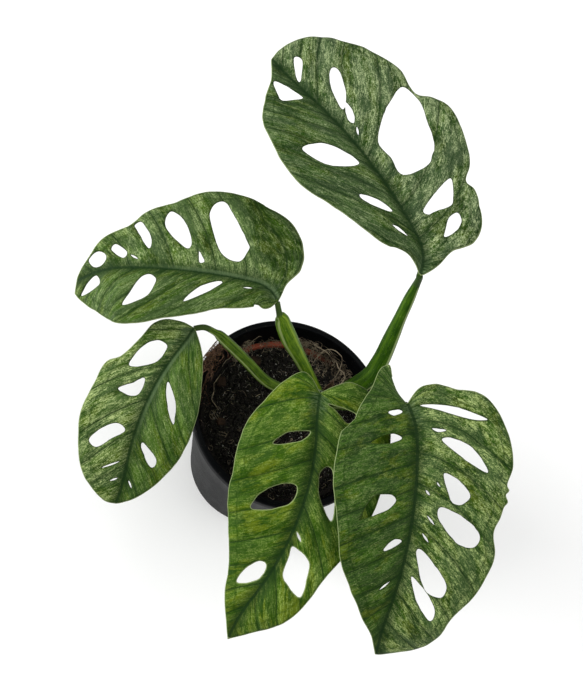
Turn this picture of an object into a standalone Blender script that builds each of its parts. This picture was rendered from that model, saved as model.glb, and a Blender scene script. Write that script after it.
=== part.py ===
"""A young swiss-cheese monstera: five leaves, a thin grow pot, and a black nursery pot around it.

Frame: +Z up, origin on the flat pad in the middle of the pot's underside, in metres.
A size or a place given in millimetres is multiplied by MM.
Each leaf is drawn flat, x along its midrib from the stalk to the tip and y to its left,
then bent along the midrib's course and folded at the midrib.
"""

import math
from typing import NamedTuple

import bmesh
import bpy
from mathutils import Matrix, Vector
from mathutils.geometry import delaunay_2d_cdt

MM = 0.001

# Driving dimensions.
POT_HEIGHT = 115 * MM
POT_RIM_RADIUS = 65 * MM
POT_FOOT_RADIUS = 46 * MM
POT_WALL = 1.5 * MM
POT_LIP = 3 * MM
POT_LIP_DEPTH = 6 * MM
POT_FLOOR = 2 * MM
POT_FLOOR_LIFT = 2.5 * MM
POT_FOOT_RING = 3 * MM
POT_PAD_RADIUS = 12 * MM
LIP_CHAMFER = 0.8 * MM
FOOT_DRAFT = 0.5 * MM

DRAIN_RADIUS = 4 * MM
DRAIN_COUNT = 6

LINER_DROP = 16.5 * MM
LINER_CLEARANCE = 1.4 * MM
LINER_FOOT_CLEARANCE = 3 * MM
LINER_WALL = 1.2 * MM
LINER_LIP = 2.2 * MM
LINER_LIP_DEPTH = 4 * MM

SOIL_DROP = 4 * MM
SOIL_SWELL = 1.2 * MM

STEM_PLACE = Vector((26 * MM, 12 * MM))
STEM_RADIUS = 4.6 * MM
STEM_ABOVE_SOIL = 25.5 * MM
STEM_IN_SOIL = 22 * MM

SHEATH_BEARING = math.radians(70)
SHEATH_WIDTH = 6 * MM
SHEATH_HEIGHT = 24 * MM
SHEATH_THICKNESS = 0.6 * MM
SHEATH_STANDOFF = 2.2 * MM
SHEATH_LEAN = 3.5 * MM

LEAF_THICKNESS = 0.8 * MM
LEAF_GRID = 11 * MM
LEAF_GRID_CLEARANCE = 5 * MM
GAP = 0.3 * MM

CHIP_WEAR = 0.3
TURNED_STEPS = 40
MARGIN_STEPS = 2
STATIONS = (0.0, 0.15, 0.8, 1.0)


class Leaf(NamedTuple):
    """A leaf's place, course and flat outline.

    base is in mm from the crown, the middle of the stem's top. headings and pitches are the
    midrib's direction in degrees at STATIONS of its length. fold lifts the left and right
    halves at the midrib, and curl turns each half down by so many degrees in 100 mm. left and
    right are the margins from the stalk to the tip, and windows the closed edges of the holes.
    """

    base: tuple
    length: float
    headings: tuple
    pitches: tuple
    fold: tuple
    curl: tuple
    left: list
    right: list
    windows: list


LEAVES = {
    "a": Leaf(
        base=(31.4, 41.2, 94), length=173,
        headings=(66, 119, 133, 119), pitches=(14, 10, -4, -14),
        fold=(6, 6), curl=(-8, -8),
        left=[(0, 0), (8, 7), (20, 18), (34, 29), (52, 37), (70, 45), (88, 52), (104, 52),
              (122, 48), (138, 41), (148, 27), (158, 12), (173, 0)],
        right=[(0, 0), (6, -7), (14, -17), (17, -34), (24, -46), (35, -50), (42, -48),
               (50, -58), (66, -67), (82, -71), (92, -66), (98, -59), (104, -58),
               (116, -62), (130, -58), (150, -51), (168, -43), (177, -31), (178, -14), (173, 0)],
        windows=[
            [(107, -54), (95, -56), (82, -50), (70, -45), (64, -38), (60, -30), (62, -12), (75, -12),
             (87, -12), (99, -28), (104, -39)],
            [(165, -12), (160, -15), (148, -4), (151, -3)],
            [(142, -26), (136, -28), (122, -18), (116, -9), (125, -11), (136, -18)],
            [(119, -14), (111, -13), (105, -8), (110, -7)],
            [(155, 12), (147, 7), (137, 5), (142, 18), (148, 17)],
            [(108, 35), (105, 21), (94, 12), (82, 8), (83, 17), (92, 29)],
            [(64, 22), (56, 13), (46, 8), (48, 13), (59, 22)],
            [(38, 14), (35, 10), (28, 7), (32, 11)],
            [(47, -39), (37, -34), (33, -29), (34, -17), (34, -12), (38, -11), (44, -25)],
            [(28, -31), (24, -31), (21, -21), (21, -15), (27, -24)],
        ],
    ),
    "b": Leaf(
        base=(-48.4, 34.2, 62), length=124,
        headings=(111, 171, 174, 198), pitches=(6, 2, -22, -34),
        fold=(6, 6), curl=(-12, -12),
        left=[(0, 0), (-3, 8), (-2, 16), (10, 20), (24, 21), (38, 24), (55, 30), (72, 35),
              (88, 39), (100, 38), (114, 32), (124, 24), (131, 14), (134, 7)],
        right=[(0, 0), (5, -9), (6, -22), (10, -37), (17, -50), (30, -55), (46, -56),
               (60, -52), (72, -45), (88, -38), (97, -29), (110, -20), (118, -11),
               (129, -2), (134, 7)],
        windows=[
            [(44, -49), (37, -40), (27, -24), (26, -19), (31, -10), (42, -14), (51, -35), (50, -45)],
            [(74, -38), (65, -31), (60, -18), (63, -14), (73, -22), (77, -30)],
            [(91, -30), (84, -19), (85, -12), (93, -24), (95, -28)],
            [(104, -15), (98, -10), (100, -6), (106, -11)],
            [(113, -12), (109, -8), (113, -3), (118, -4), (119, -9)],
            [(55, -13), (51, -7), (54, -6)],
            [(117, 2), (115, 9), (125, 11), (130, 10), (123, 4)],
            [(82, 5), (78, 10), (83, 21), (96, 27), (92, 17), (87, 7)],
            [(42, 5), (39, 6), (47, 14), (60, 22), (53, 12)],
        ],
    ),
    "c": Leaf(
        base=(-97.2, 20.1, 48), length=117,
        headings=(241, 233, 262, 252), pitches=(0, -8, -32, -40),
        fold=(6, 6), curl=(-12, -12),
        left=[(0, 0), (7, 7), (16, 16), (28, 23), (44, 29), (60, 31), (76, 30), (90, 26),
              (103, 17), (112, 8), (118, 0)],
        right=[(0, 0), (2, -8), (6, -16), (14, -21), (26, -22), (38, -25), (45, -31),
               (58, -32), (72, -33), (88, -29), (102, -24), (112, -16), (118, -7), (118, 0)],
        windows=[
            [(21, -13), (21, -6), (31, -6), (39, -14), (40, -19), (29, -18)],
            [(43, -8), (45, -6), (52, -6), (55, -10), (54, -18), (48, -12)],
            [(71, -12), (74, -6), (80, -12), (86, -19), (83, -24), (77, -20)],
            [(38, 6), (47, 15), (58, 19), (61, 19), (55, 14), (43, 7)],
            [(78, 7), (86, 16), (92, 14), (81, 6)],
        ],
    ),
    "d": Leaf(
        base=(-29.1, -27.3, 72), length=158,
        headings=(255, 266, 232, 253), pitches=(5, -4, -40, -46),
        fold=(6, -8), curl=(-12, -25),
        left=[(0, 0), (-7, 9), (-11, 18), (-7, 30), (4, 39), (18, 43), (36, 42), (54, 40),
              (72, 36), (85, 31), (98, 27), (110, 26), (124, 23), (138, 17), (148, 9), (158, 0)],
        right=[(0, 0), (-8, -7), (-10, -13), (-3, -21), (10, -31), (24, -41), (44, -44),
               (62, -43), (77, -42), (96, -35), (113, -26), (130, -17), (146, -6), (158, 0)],
        windows=[
            [(35, -24), (27, -17), (25, -6), (26, -4), (32, -10)],
            [(78, -27), (68, -24), (59, -15), (58, -7), (66, -6), (73, -12), (80, -24)],
            [(126, -12), (117, -13), (107, -9), (107, -4), (117, -4)],
            [(90, 4), (93, 15), (102, 19), (111, 21), (109, 11), (105, 6), (95, 4)],
            [(7, 6), (10, 22), (18, 18), (11, 11)],
            [(47, 5), (45, 11), (69, 18), (65, 11), (57, 6)],
        ],
    ),
    "e": Leaf(
        base=(18.3, -36.8, 85), length=153,
        headings=(291, 267, 256, 276), pitches=(8, -4, -40, -55),
        fold=(8, 8), curl=(-16, -16),
        left=[(0, 0), (-5, 10), (-4, 20), (2, 30), (5, 42), (11, 50), (22, 55), (34, 56),
              (46, 52), (56, 52), (68, 47), (80, 50), (92, 47), (104, 42), (118, 34),
              (132, 32), (146, 26), (152, 12), (153, 0)],
        right=[(0, 0), (-8, -2), (-18, 0), (-26, 2), (-25, -5), (-15, -17), (-6, -30), (5, -40),
               (21, -46), (38, -49), (54, -49), (77, -43), (97, -37), (112, -27),
               (126, -16), (138, -6), (153, 0)],
        windows=[
            [(4, 6), (8, 23), (12, 35), (15, 43), (14, 31), (9, 16)],
            [(17, 9), (18, 17), (19, 12)],
            [(22, 14), (22, 23), (27, 33), (38, 41), (34, 30), (26, 17)],
            [(41, 15), (44, 24), (51, 31), (56, 27), (56, 21), (49, 17)],
            [(59, 15), (63, 29), (70, 39), (77, 37), (76, 26), (65, 14)],
            [(83, 7), (90, 17), (99, 26), (106, 25), (104, 15), (88, 6)],
            [(99, 7), (106, 17), (114, 24), (120, 23), (112, 13), (102, 7)],
            [(3, -15), (3, -8), (5, -6), (7, -13)],
            [(28, -29), (21, -17), (23, -10), (27, -17)],
            [(71, -31), (59, -26), (56, -16), (59, -12), (65, -17), (72, -30)],
            [(86, -14), (80, -9), (81, -4), (87, -12)],
        ],
    ),
}


class Stalk(NamedTuple):
    """A leaf stalk's route in mm from the crown, and its radius in mm at each place.

    It leaves the stem in the direction leaves, in degrees, and ends under its leaf's base.
    """

    leaves: float
    root_radius: float
    rise: float
    route: list
    neck_radius: float


STALKS = {
    "a": Stalk(5, 5.2, 4, [(20, 4, 15, 6.3), (26, 12, 28, 5.7), (29, 22, 43, 5.0), (31, 30, 56, 4.0),
                           (33, 37.5, 69, 3.5), (33.5, 41, 79, 2.6), (33, 42.5, 88, 2.1)], 2.0),
    "b": Stalk(125, 4.2, 4, [(-20.5, 11, 15, 4.3), (-31, 17.7, 34, 4.7), (-40.2, 23.5, 44, 5.4),
                             (-42.8, 26.2, 48.5, 5.2), (-44.4, 27.3, 51.2, 4.2), (-46.5, 28.6, 54, 2.2)], 1.8),
    "c": Stalk(185, 3.2, 2, [(-28, -3, 6, 3.4), (-46, 0, 15, 3.5), (-63, 9, 28, 3.5),
                             (-79, 17, 40, 3.4), (-84, 19, 43, 2.1), (-91, 20.5, 46, 1.9)], 1.8),
    "d": Stalk(245, 3.0, 8, [(-8, -12, 20, 3.0), (-20, -20, 45, 2.8), (-27, -25, 62, 2.4)], 2.0),
    "e": Stalk(300, 3.2, 4, [(10, -15, 18, 3.2), (15, -26, 45, 2.8), (18, -33, 70, 2.4)], 2.0),
}


class Root(NamedTuple):
    """A wiry root: its radius in mm, and its route.

    A place on the route is x and y in hundredths of the liner's rim radius, from the pot's
    axis, and its height in mm above the liner's rim.
    """

    radius: float
    route: list


ROOTS = {
    "root_over_rim": Root(0.5, [(19, 76, -1), (25, 83, 3), (33, 92, 6), (46, 89, 7.5), (58, 79, 6.5),
                                (69, 66, 5), (77, 56, 4), (74, 48, 2.5), (67, 42, -1)]),
    "root_loop": Root(0.4, [(35, 65, -1), (39, 72, 3), (44, 79, 7), (52, 83, 12), (62, 80, 14.5),
                            (69, 72, 13), (70, 63, 9), (65, 55, 4), (60, 51, -1)]),
    "root_strand_left": Root(0.45, [(-74, 53, 1), (-83, 39, 1), (-85, 21, 1), (-77, 9, -1)]),
    "root_strand_front": Root(0.45, [(-39, -67, -0.5), (-14, -74, 2), (14, -76, 2.4), (42, -67, -0.5)]),
}


class Chip(NamedTuple):
    """A flat chip on the soil: place in hundredths of the liner's rim radius from the pot's
    axis, size in mm, turn in degrees."""

    x: float
    y: float
    size: tuple
    turn: float


CHIPS = {
    "bark_chip_left": Chip(-73, 45, (6, 4, 2.4), 60),
    "bark_chip_middle": Chip(-74, -4, (5, 3.5, 2), 25),
    "husk_chunk_back": Chip(-32, 74, (8, 4.5, 2.6), 10),
}

# Sizes that follow from the driving ones.
POT_NECK_RADIUS = POT_RIM_RADIUS - POT_LIP
LINER_TOP = POT_HEIGHT - LINER_DROP
LINER_BOTTOM = POT_FLOOR_LIFT + POT_FLOOR + GAP
SOIL_TOP = LINER_TOP - SOIL_DROP
CROWN = Vector((STEM_PLACE.x, STEM_PLACE.y, SOIL_TOP + STEM_ABOVE_SOIL))
STEM_PROFILE = [(0, 1), (0.55, 1), (0.85, 0.94), (0.82, 0.62), (1, 0.55), (1, 0.45), (0.86, 0.38), (0.9, 0)]
STEM_FOOT_PROFILE = [(0.9, 0.8), (0.5, 1), (0, 1)]
DRAIN_CIRCLE = (POT_PAD_RADIUS + POT_FOOT_RADIUS - POT_FOOT_RING) / 2


def pot_outer_radius(z):
    """The black pot's outer wall radius at height z."""
    return POT_FOOT_RADIUS + (POT_NECK_RADIUS - POT_FOOT_RADIUS) * z / POT_HEIGHT


def pot_inner_radius(z):
    return pot_outer_radius(z) - POT_WALL


LINER_RIM_RADIUS = pot_inner_radius(LINER_TOP) - LINER_CLEARANCE
LINER_FOOT_RADIUS = pot_inner_radius(LINER_BOTTOM) - LINER_FOOT_CLEARANCE


def liner_outer_radius(z):
    """The liner's wall radius at height z, under its lip."""
    share = (z - LINER_BOTTOM) / (LINER_TOP - LINER_BOTTOM)
    return LINER_FOOT_RADIUS + (LINER_RIM_RADIUS - LINER_LIP - LINER_FOOT_RADIUS) * share


def soil_height(x, y):
    """The soil's surface: slightly uneven, and level at the liner's wall."""
    radius = liner_outer_radius(SOIL_TOP) - LINER_WALL
    away = max(0.0, 1 - (x * x + y * y) / (radius * radius))
    ripple = math.sin(x / (13 * MM) + 0.6) * math.cos(y / (11 * MM))
    return SOIL_TOP + SOIL_SWELL * away * ripple


def clear_scene():
    for obj in list(bpy.data.objects):
        bpy.data.objects.remove(obj, do_unlink=True)


def new_collection(name, hidden=False):
    collection = bpy.data.collections.new(name)
    collection.hide_render = hidden
    bpy.context.scene.collection.children.link(collection)
    return collection


def material(name, colour, roughness):
    made = bpy.data.materials.new(name)
    made.use_nodes = True
    shader = made.node_tree.nodes["Principled BSDF"]
    shader.inputs["Base Color"].default_value = (*colour, 1)
    shader.inputs["Roughness"].default_value = roughness
    shader.inputs["Metallic"].default_value = 0.0
    return made


def add_object(name, data, collection, mat=None):
    obj = bpy.data.objects.new(name, data)
    collection.objects.link(obj)
    if mat is not None:
        data.materials.append(mat)
    return obj


def evaluated_mesh(obj):
    """The object's shape with its modifiers or bevel applied, as a plain welded mesh."""
    graph = bpy.context.evaluated_depsgraph_get()
    mesh = bpy.data.meshes.new_from_object(obj.evaluated_get(graph))
    edit = bmesh.new()
    edit.from_mesh(mesh)
    bmesh.ops.remove_doubles(edit, verts=edit.verts, dist=0.00001)
    edit.to_mesh(mesh)
    edit.free()
    return mesh


def turned(name, profile, collection, mat):
    """A body turned about Z from (radius, z) points; its outer side runs top to bottom."""
    mesh = bpy.data.meshes.new(name)
    edit = bmesh.new()
    verts = [edit.verts.new((radius, 0, z)) for radius, z in profile]
    for first, second in zip(verts, verts[1:]):
        edit.edges.new((first, second))
    edit.to_mesh(mesh)
    edit.free()
    obj = add_object(name, mesh, collection, mat)
    screw = obj.modifiers.new("turn", "SCREW")
    screw.steps = TURNED_STEPS
    screw.render_steps = TURNED_STEPS
    screw.use_merge_vertices = True
    screw.merge_threshold = 0.00001
    mesh.shade_smooth()
    return obj


def cut(obj, cutter, name):
    cutter.display_type = "WIRE"
    cutter.hide_render = True
    boolean = obj.modifiers.new(name, "BOOLEAN")
    boolean.operation = "DIFFERENCE"
    boolean.object = cutter


def posts(name, places, radius, bottom, top, collection):
    """Upright cylinders joined in one mesh, used to cut holes."""
    mesh = bpy.data.meshes.new(name)
    edit = bmesh.new()
    for x, y in places:
        bmesh.ops.create_cone(
            edit, cap_ends=True, segments=16, radius1=radius, radius2=radius,
            depth=top - bottom, matrix=Matrix.Translation((x, y, (top + bottom) / 2)),
        )
    edit.to_mesh(mesh)
    edit.free()
    return add_object(name, mesh, collection)


def drain_places(turn):
    angles = [turn + 2 * math.pi * k / DRAIN_COUNT for k in range(DRAIN_COUNT)]
    return [(DRAIN_CIRCLE * math.cos(a), DRAIN_CIRCLE * math.sin(a)) for a in angles]


def make_outer_pot(parts, cutters):
    black = material("black_plastic", (0.012, 0.012, 0.014), 0.35)
    floor = POT_FLOOR_LIFT + POT_FLOOR
    inner_rim = pot_inner_radius(POT_HEIGHT)
    lip_bottom = POT_HEIGHT - POT_LIP_DEPTH
    ring = POT_FOOT_RADIUS - POT_FOOT_RING
    profile = [
        (0, floor),
        (pot_inner_radius(floor), floor),
        (inner_rim, POT_HEIGHT - LIP_CHAMFER),
        (inner_rim + LIP_CHAMFER, POT_HEIGHT),
        (POT_RIM_RADIUS - LIP_CHAMFER, POT_HEIGHT),
        (POT_RIM_RADIUS, POT_HEIGHT - LIP_CHAMFER),
        (POT_RIM_RADIUS, lip_bottom),
        (pot_outer_radius(lip_bottom), lip_bottom - LIP_CHAMFER),
        (POT_FOOT_RADIUS, 0),
        (ring, 0),
        (ring - FOOT_DRAFT, POT_FLOOR_LIFT),
        (POT_PAD_RADIUS + FOOT_DRAFT, POT_FLOOR_LIFT),
        (POT_PAD_RADIUS, 0),
        (0, 0),
    ]
    pot = turned("outer_pot", profile, parts, black)
    holes = posts("pot_drain_cutter", drain_places(0), DRAIN_RADIUS, -floor, 2 * floor, cutters)
    cut(pot, holes, "drains")


def make_liner(parts, cutters):
    terracotta = material("terracotta_plastic", (0.42, 0.13, 0.07), 0.5)
    floor = LINER_BOTTOM + LINER_WALL
    lip_bottom = LINER_TOP - LINER_LIP_DEPTH
    profile = [
        (0, floor),
        (liner_outer_radius(floor) - LINER_WALL, floor),
        (liner_outer_radius(LINER_TOP) - LINER_WALL, LINER_TOP),
        (LINER_RIM_RADIUS, LINER_TOP),
        (LINER_RIM_RADIUS, lip_bottom),
        (liner_outer_radius(lip_bottom), lip_bottom),
        (LINER_FOOT_RADIUS, LINER_BOTTOM),
        (0, LINER_BOTTOM),
    ]
    liner = turned("liner_pot", profile, parts, terracotta)
    holes = posts("liner_drain_cutter", drain_places(math.pi / DRAIN_COUNT), DRAIN_RADIUS,
                  LINER_BOTTOM - floor, floor + LINER_BOTTOM, cutters)
    cut(liner, holes, "drains")


def make_soil(parts, cutters):
    peat = material("peat", (0.018, 0.013, 0.010), 0.95)
    bottom = LINER_BOTTOM + LINER_WALL + GAP
    rim = liner_outer_radius(SOIL_TOP) - LINER_WALL - GAP
    foot = liner_outer_radius(bottom) - LINER_WALL - GAP
    profile = [(rim * share, SOIL_TOP) for share in (0, 0.2, 0.4, 0.6, 0.8, 1)]
    profile += [(foot, bottom), (0, bottom)]
    blank = turned("soil_blank", profile, parts, peat)
    mesh = evaluated_mesh(blank)
    bpy.data.objects.remove(blank, do_unlink=True)
    for vert in mesh.vertices:
        if vert.co.z > SOIL_TOP - GAP:
            vert.co.z = soil_height(vert.co.x, vert.co.y)
    soil = add_object("potting_soil", mesh, parts)
    socket = posts("stem_socket", [STEM_PLACE], STEM_RADIUS + GAP,
                   SOIL_TOP - STEM_IN_SOIL - GAP, SOIL_TOP + STEM_ABOVE_SOIL, cutters)
    cut(soil, socket, "stem_socket")


def smooth_route(points, steps):
    """Places along a Catmull-Rom curve through points of any dimension, ends included."""
    ends = [points[0], *points, points[-1]]
    route = []
    for i in range(len(points) - 1):
        p0, p1, p2, p3 = ends[i : i + 4]
        for k in range(steps):
            t = k / steps
            route.append(tuple(
                0.5 * (2 * b + (c - a) * t + (2 * a - 5 * b + 4 * c - d) * t * t
                       + (3 * b - a - 3 * c + d) * t**3)
                for a, b, c, d in zip(p0, p1, p2, p3)
            ))
    route.append(tuple(points[-1]))
    return route


def tube(name, places, collection, mat, sides=2):
    """A round tube with filled caps through (x, y, z, radius) places."""
    curve = bpy.data.curves.new(name, "CURVE")
    curve.dimensions = "3D"
    curve.bevel_depth = 1.0
    curve.bevel_resolution = sides
    curve.use_fill_caps = True
    spline = curve.splines.new("POLY")
    spline.points.add(len(places) - 1)
    for point, (x, y, z, radius) in zip(spline.points, places):
        point.co = (x, y, z, 1)
        point.radius = radius
    return add_object(name, curve, collection, mat)


def make_stem(parts):
    """The short stem: a rounded top, a swollen ring half way up, and a blunt buried end."""
    green = material("stem_green", (0.09, 0.19, 0.025), 0.5)
    above = [(share_of_radius * STEM_RADIUS, share_of_height * STEM_ABOVE_SOIL)
             for share_of_radius, share_of_height in STEM_PROFILE]
    below = [(share_of_radius * STEM_RADIUS, -share_of_depth * STEM_IN_SOIL)
             for share_of_radius, share_of_depth in STEM_FOOT_PROFILE]
    stem = turned("main_stem", above + below, parts, green)
    stem.location = (STEM_PLACE.x, STEM_PLACE.y, SOIL_TOP)


def smoothed_outline(leaf):
    """The leaf's closed flat outline in metres: sinus, left margin, tip, right margin."""
    left = smooth_route(leaf.left, MARGIN_STEPS)
    right = smooth_route(leaf.right, MARGIN_STEPS)
    return [(x * MM, y * MM) for x, y in left[:-1] + right[:0:-1]]


def window_outline(window):
    """A window's closed edge in metres, rounded through its points."""
    count = len(window)
    wrapped = [window[-1], *window, window[0], window[1]]
    rounded = smooth_route(wrapped, MARGIN_STEPS)[MARGIN_STEPS : (count + 1) * MARGIN_STEPS]
    return [(x * MM, y * MM) for x, y in rounded]


def at_station(values, share):
    """The value at a share of the midrib's length, straight between the STATIONS."""
    share = min(max(share, STATIONS[0]), STATIONS[-1])
    for i in range(len(STATIONS) - 1):
        if share <= STATIONS[i + 1]:
            part = (share - STATIONS[i]) / (STATIONS[i + 1] - STATIONS[i])
            return values[i] + (values[i + 1] - values[i]) * part
    return values[-1]


class Blade:
    """Bends a flat leaf into its place in the air."""

    STEPS = 60
    CURL_STEPS = 4

    def __init__(self, leaf):
        self.leaf = leaf
        self.length = leaf.length * MM
        self.base = CROWN + Vector(leaf.base) * MM
        self.midrib = [self.base]
        for k in range(self.STEPS):
            ahead = self.direction((k + 0.5) / self.STEPS)
            self.midrib.append(self.midrib[-1] + ahead * (self.length / self.STEPS))

    def direction(self, share):
        heading = math.radians(at_station(self.leaf.headings, share))
        pitch = math.radians(at_station(self.leaf.pitches, share))
        flat = math.cos(pitch)
        return Vector((flat * math.cos(heading), flat * math.sin(heading), math.sin(pitch)))

    def frame(self, share):
        """The leaf's left and its upper side."""
        ahead = self.direction(share)
        left = Vector((-ahead.y, ahead.x, 0)).normalized()
        return left, ahead.cross(left)

    def on_midrib(self, x):
        if x <= 0:
            return self.base + self.direction(0) * x
        if x >= self.length:
            return self.midrib[-1] + self.direction(1) * (x - self.length)
        place = x / self.length * self.STEPS
        i = min(int(place), self.STEPS - 1)
        return self.midrib[i].lerp(self.midrib[i + 1], place - i)

    def point(self, x, y):
        """The place in the air of the flat leaf's point (x, y)."""
        left, upper = self.frame(x / self.length)
        side = 0 if y >= 0 else 1
        fold = math.radians(self.leaf.fold[side])
        curl = math.radians(self.leaf.curl[side]) / (100 * MM)
        away = abs(y)
        angles = [fold + curl * away * (k + 0.5) / self.CURL_STEPS for k in range(self.CURL_STEPS)]
        across = sum(math.cos(angle) for angle in angles) * math.copysign(away, y) / self.CURL_STEPS
        lift = sum(math.sin(angle) for angle in angles) * away / self.CURL_STEPS
        return self.on_midrib(x) + left * across + upper * lift


def inside(point, loop):
    """Whether a flat point lies inside a closed loop."""
    x, y = point
    crossings = 0
    for (x1, y1), (x2, y2) in zip(loop, loop[1:] + loop[:1]):
        if (y1 > y) != (y2 > y) and x < x1 + (y - y1) / (y2 - y1) * (x2 - x1):
            crossings += 1
    return crossings % 2 == 1


def near(point, loop, distance):
    return any(math.dist(point, corner) < distance for corner in loop)


def flat_leaf(leaf):
    """The leaf's flat triangles: its outline less its windows, over a loose grid."""
    outline = smoothed_outline(leaf)
    windows = [window_outline(window) for window in leaf.windows]
    points, edges = [], []
    for loop in [outline, *windows]:
        start = len(points)
        points += loop
        edges += [(start + k, start + (k + 1) % len(loop)) for k in range(len(loop))]
    low = [min(p[k] for p in outline) for k in (0, 1)]
    high = [max(p[k] for p in outline) for k in (0, 1)]
    rows = int((high[0] - low[0]) / LEAF_GRID) + 1
    first, last = math.floor(low[1] / LEAF_GRID), math.ceil(high[1] / LEAF_GRID)
    for i in range(rows):
        for j in range(first, last + 1):
            spot = (low[0] + (i + 0.5) * LEAF_GRID, j * LEAF_GRID)
            if not inside(spot, outline) or any(inside(spot, w) for w in windows):
                continue
            if not any(near(spot, loop, LEAF_GRID_CLEARANCE) for loop in [outline, *windows]):
                points.append(spot)
    vectors = [Vector(point) for point in points]
    verts, _, faces, *_ = delaunay_2d_cdt(vectors, edges, [], 0, 1e-7)
    verts = [tuple(vert) for vert in verts]
    kept = []
    for face in faces:
        middle = tuple(sum(verts[k][axis] for k in face) / len(face) for axis in (0, 1))
        if inside(middle, outline) and not any(inside(middle, w) for w in windows):
            kept.append(face)
    return verts, kept


def make_leaf(letter, leaf, parts):
    green = material("leaf_green_" + letter, (0.07, 0.15, 0.03), 0.45)
    blade = Blade(leaf)
    verts, faces = flat_leaf(leaf)
    mesh = bpy.data.meshes.new("leaf_" + letter)
    mesh.from_pydata([blade.point(x, y) for x, y in verts], [], faces)
    edit = bmesh.new()
    edit.from_mesh(mesh)
    loose = [vert for vert in edit.verts if not vert.link_faces]
    bmesh.ops.delete(edit, geom=loose, context="VERTS")
    bmesh.ops.recalc_face_normals(edit, faces=edit.faces)
    edit.to_mesh(mesh)
    edit.free()
    mesh.shade_smooth()
    obj = add_object("leaf_" + letter, mesh, parts, green)
    solid = obj.modifiers.new("thickness", "SOLIDIFY")
    solid.thickness = LEAF_THICKNESS
    solid.offset = 0
    solid.use_even_offset = True


def stalk_places(letter):
    """A stalk's (x, y, z, radius) places: out of the stem, along its route, under its leaf."""
    stalk = STALKS[letter]
    blade = Blade(LEAVES[letter])
    leaves = math.radians(stalk.leaves)
    reach = STEM_RADIUS + stalk.root_radius * MM + 2 * GAP
    foot_z = SOIL_TOP + SOIL_SWELL + (stalk.root_radius + stalk.rise) * MM
    foot = (STEM_PLACE.x + reach * math.cos(leaves), STEM_PLACE.y + reach * math.sin(leaves), foot_z)
    _, upper = blade.frame(0)
    neck = stalk.neck_radius * MM
    end = blade.base - upper * (LEAF_THICKNESS / 2 + neck + 2 * GAP)
    places = [(*foot, stalk.root_radius * MM)]
    places += [(*(CROWN + Vector(p[:3]) * MM), p[3] * MM) for p in stalk.route]
    places.append((*end, neck))
    return smooth_route(places, 3)


def make_stalks(parts):
    for letter in STALKS:
        green = material("stalk_green_" + letter, (0.16, 0.30, 0.04), 0.45)
        tube("petiole_" + letter, stalk_places(letter), parts, green, sides=2)


def make_dry_sheath(parts):
    """The withered sheath of the first leaf: a thin pointed strip that stands beside the stem."""
    brown = material("dry_sheath", (0.30, 0.16, 0.11), 0.8)
    foot = SOIL_TOP + SOIL_SWELL + GAP
    reach = STEM_RADIUS + SHEATH_STANDOFF
    mesh = bpy.data.meshes.new("dry_sheath")
    edit = bmesh.new()
    rows = []
    for share in (0, 0.2, 0.4, 0.6, 0.8, 1):
        half = SHEATH_WIDTH / 2 * (1 - share**2) + SHEATH_THICKNESS
        lean = reach + SHEATH_LEAN * share**2
        turns = [SHEATH_BEARING + side * half / reach for side in (-1, -0.4, 0.4, 1)]
        rows.append([
            edit.verts.new((STEM_PLACE.x + lean * math.cos(turn), STEM_PLACE.y + lean * math.sin(turn),
                            foot + SHEATH_HEIGHT * share))
            for turn in turns
        ])
    for low, high in zip(rows, rows[1:]):
        for k in range(len(low) - 1):
            edit.faces.new((low[k], low[k + 1], high[k + 1], high[k]))
    edit.to_mesh(mesh)
    edit.free()
    obj = add_object("dry_sheath", mesh, parts, brown)
    solid = obj.modifiers.new("thickness", "SOLIDIFY")
    solid.thickness = SHEATH_THICKNESS
    solid.offset = 0


def make_roots(parts):
    brown = material("root_brown", (0.22, 0.14, 0.09), 0.85)
    for name, root in ROOTS.items():
        radius = root.radius * MM
        places = []
        for across, along, rise in root.route:
            x, y = across / 100 * LINER_RIM_RADIUS, along / 100 * LINER_RIM_RADIUS
            floor = soil_height(x, y) + radius + 2 * GAP
            places.append((x, y, max(LINER_TOP + rise * MM, floor), radius))
        tube(name, smooth_route(places, 3), parts, brown, sides=1)


def make_chips(parts):
    bark = material("bark", (0.20, 0.11, 0.06), 0.9)
    for name, chip in CHIPS.items():
        length, width, height = (side * MM for side in chip.size)
        mesh = bpy.data.meshes.new(name)
        edit = bmesh.new()
        bmesh.ops.create_cube(edit, size=1, matrix=Matrix.Diagonal((length, width, height, 1)))
        edit.to_mesh(mesh)
        edit.free()
        obj = add_object(name, mesh, parts, bark)
        x, y = chip.x / 100 * LINER_RIM_RADIUS, chip.y / 100 * LINER_RIM_RADIUS
        obj.location = (x, y, soil_height(x, y) + SOIL_SWELL / 2 + height / 2 + GAP)
        obj.rotation_euler.z = math.radians(chip.turn)
        bevel = obj.modifiers.new("worn_edges", "BEVEL")
        bevel.width = height * CHIP_WEAR
        bevel.segments = 2


def main():
    clear_scene()
    parts = new_collection("potted_monstera")
    cutters = new_collection("cutters", hidden=True)
    make_outer_pot(parts, cutters)
    make_liner(parts, cutters)
    make_soil(parts, cutters)
    make_stem(parts)
    make_dry_sheath(parts)
    make_stalks(parts)
    for letter, leaf in LEAVES.items():
        make_leaf(letter, leaf, parts)
    make_roots(parts)
    make_chips(parts)


main()
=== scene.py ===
"""The looks of a young swiss-cheese monstera in its nursery pot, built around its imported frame.

Everything is in metres, +Z up; a size given in millimetres is multiplied by MM.
Each leaf is drawn flat, x along its midrib and y to its left, given its veins and quilting
there, and then bent along the midrib's course and folded at the midrib.
"""

import math
from typing import NamedTuple

import bmesh
import bpy
import numpy as np
from mathutils import Matrix, Vector, kdtree, noise
from mathutils.geometry import delaunay_2d_cdt


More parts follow.
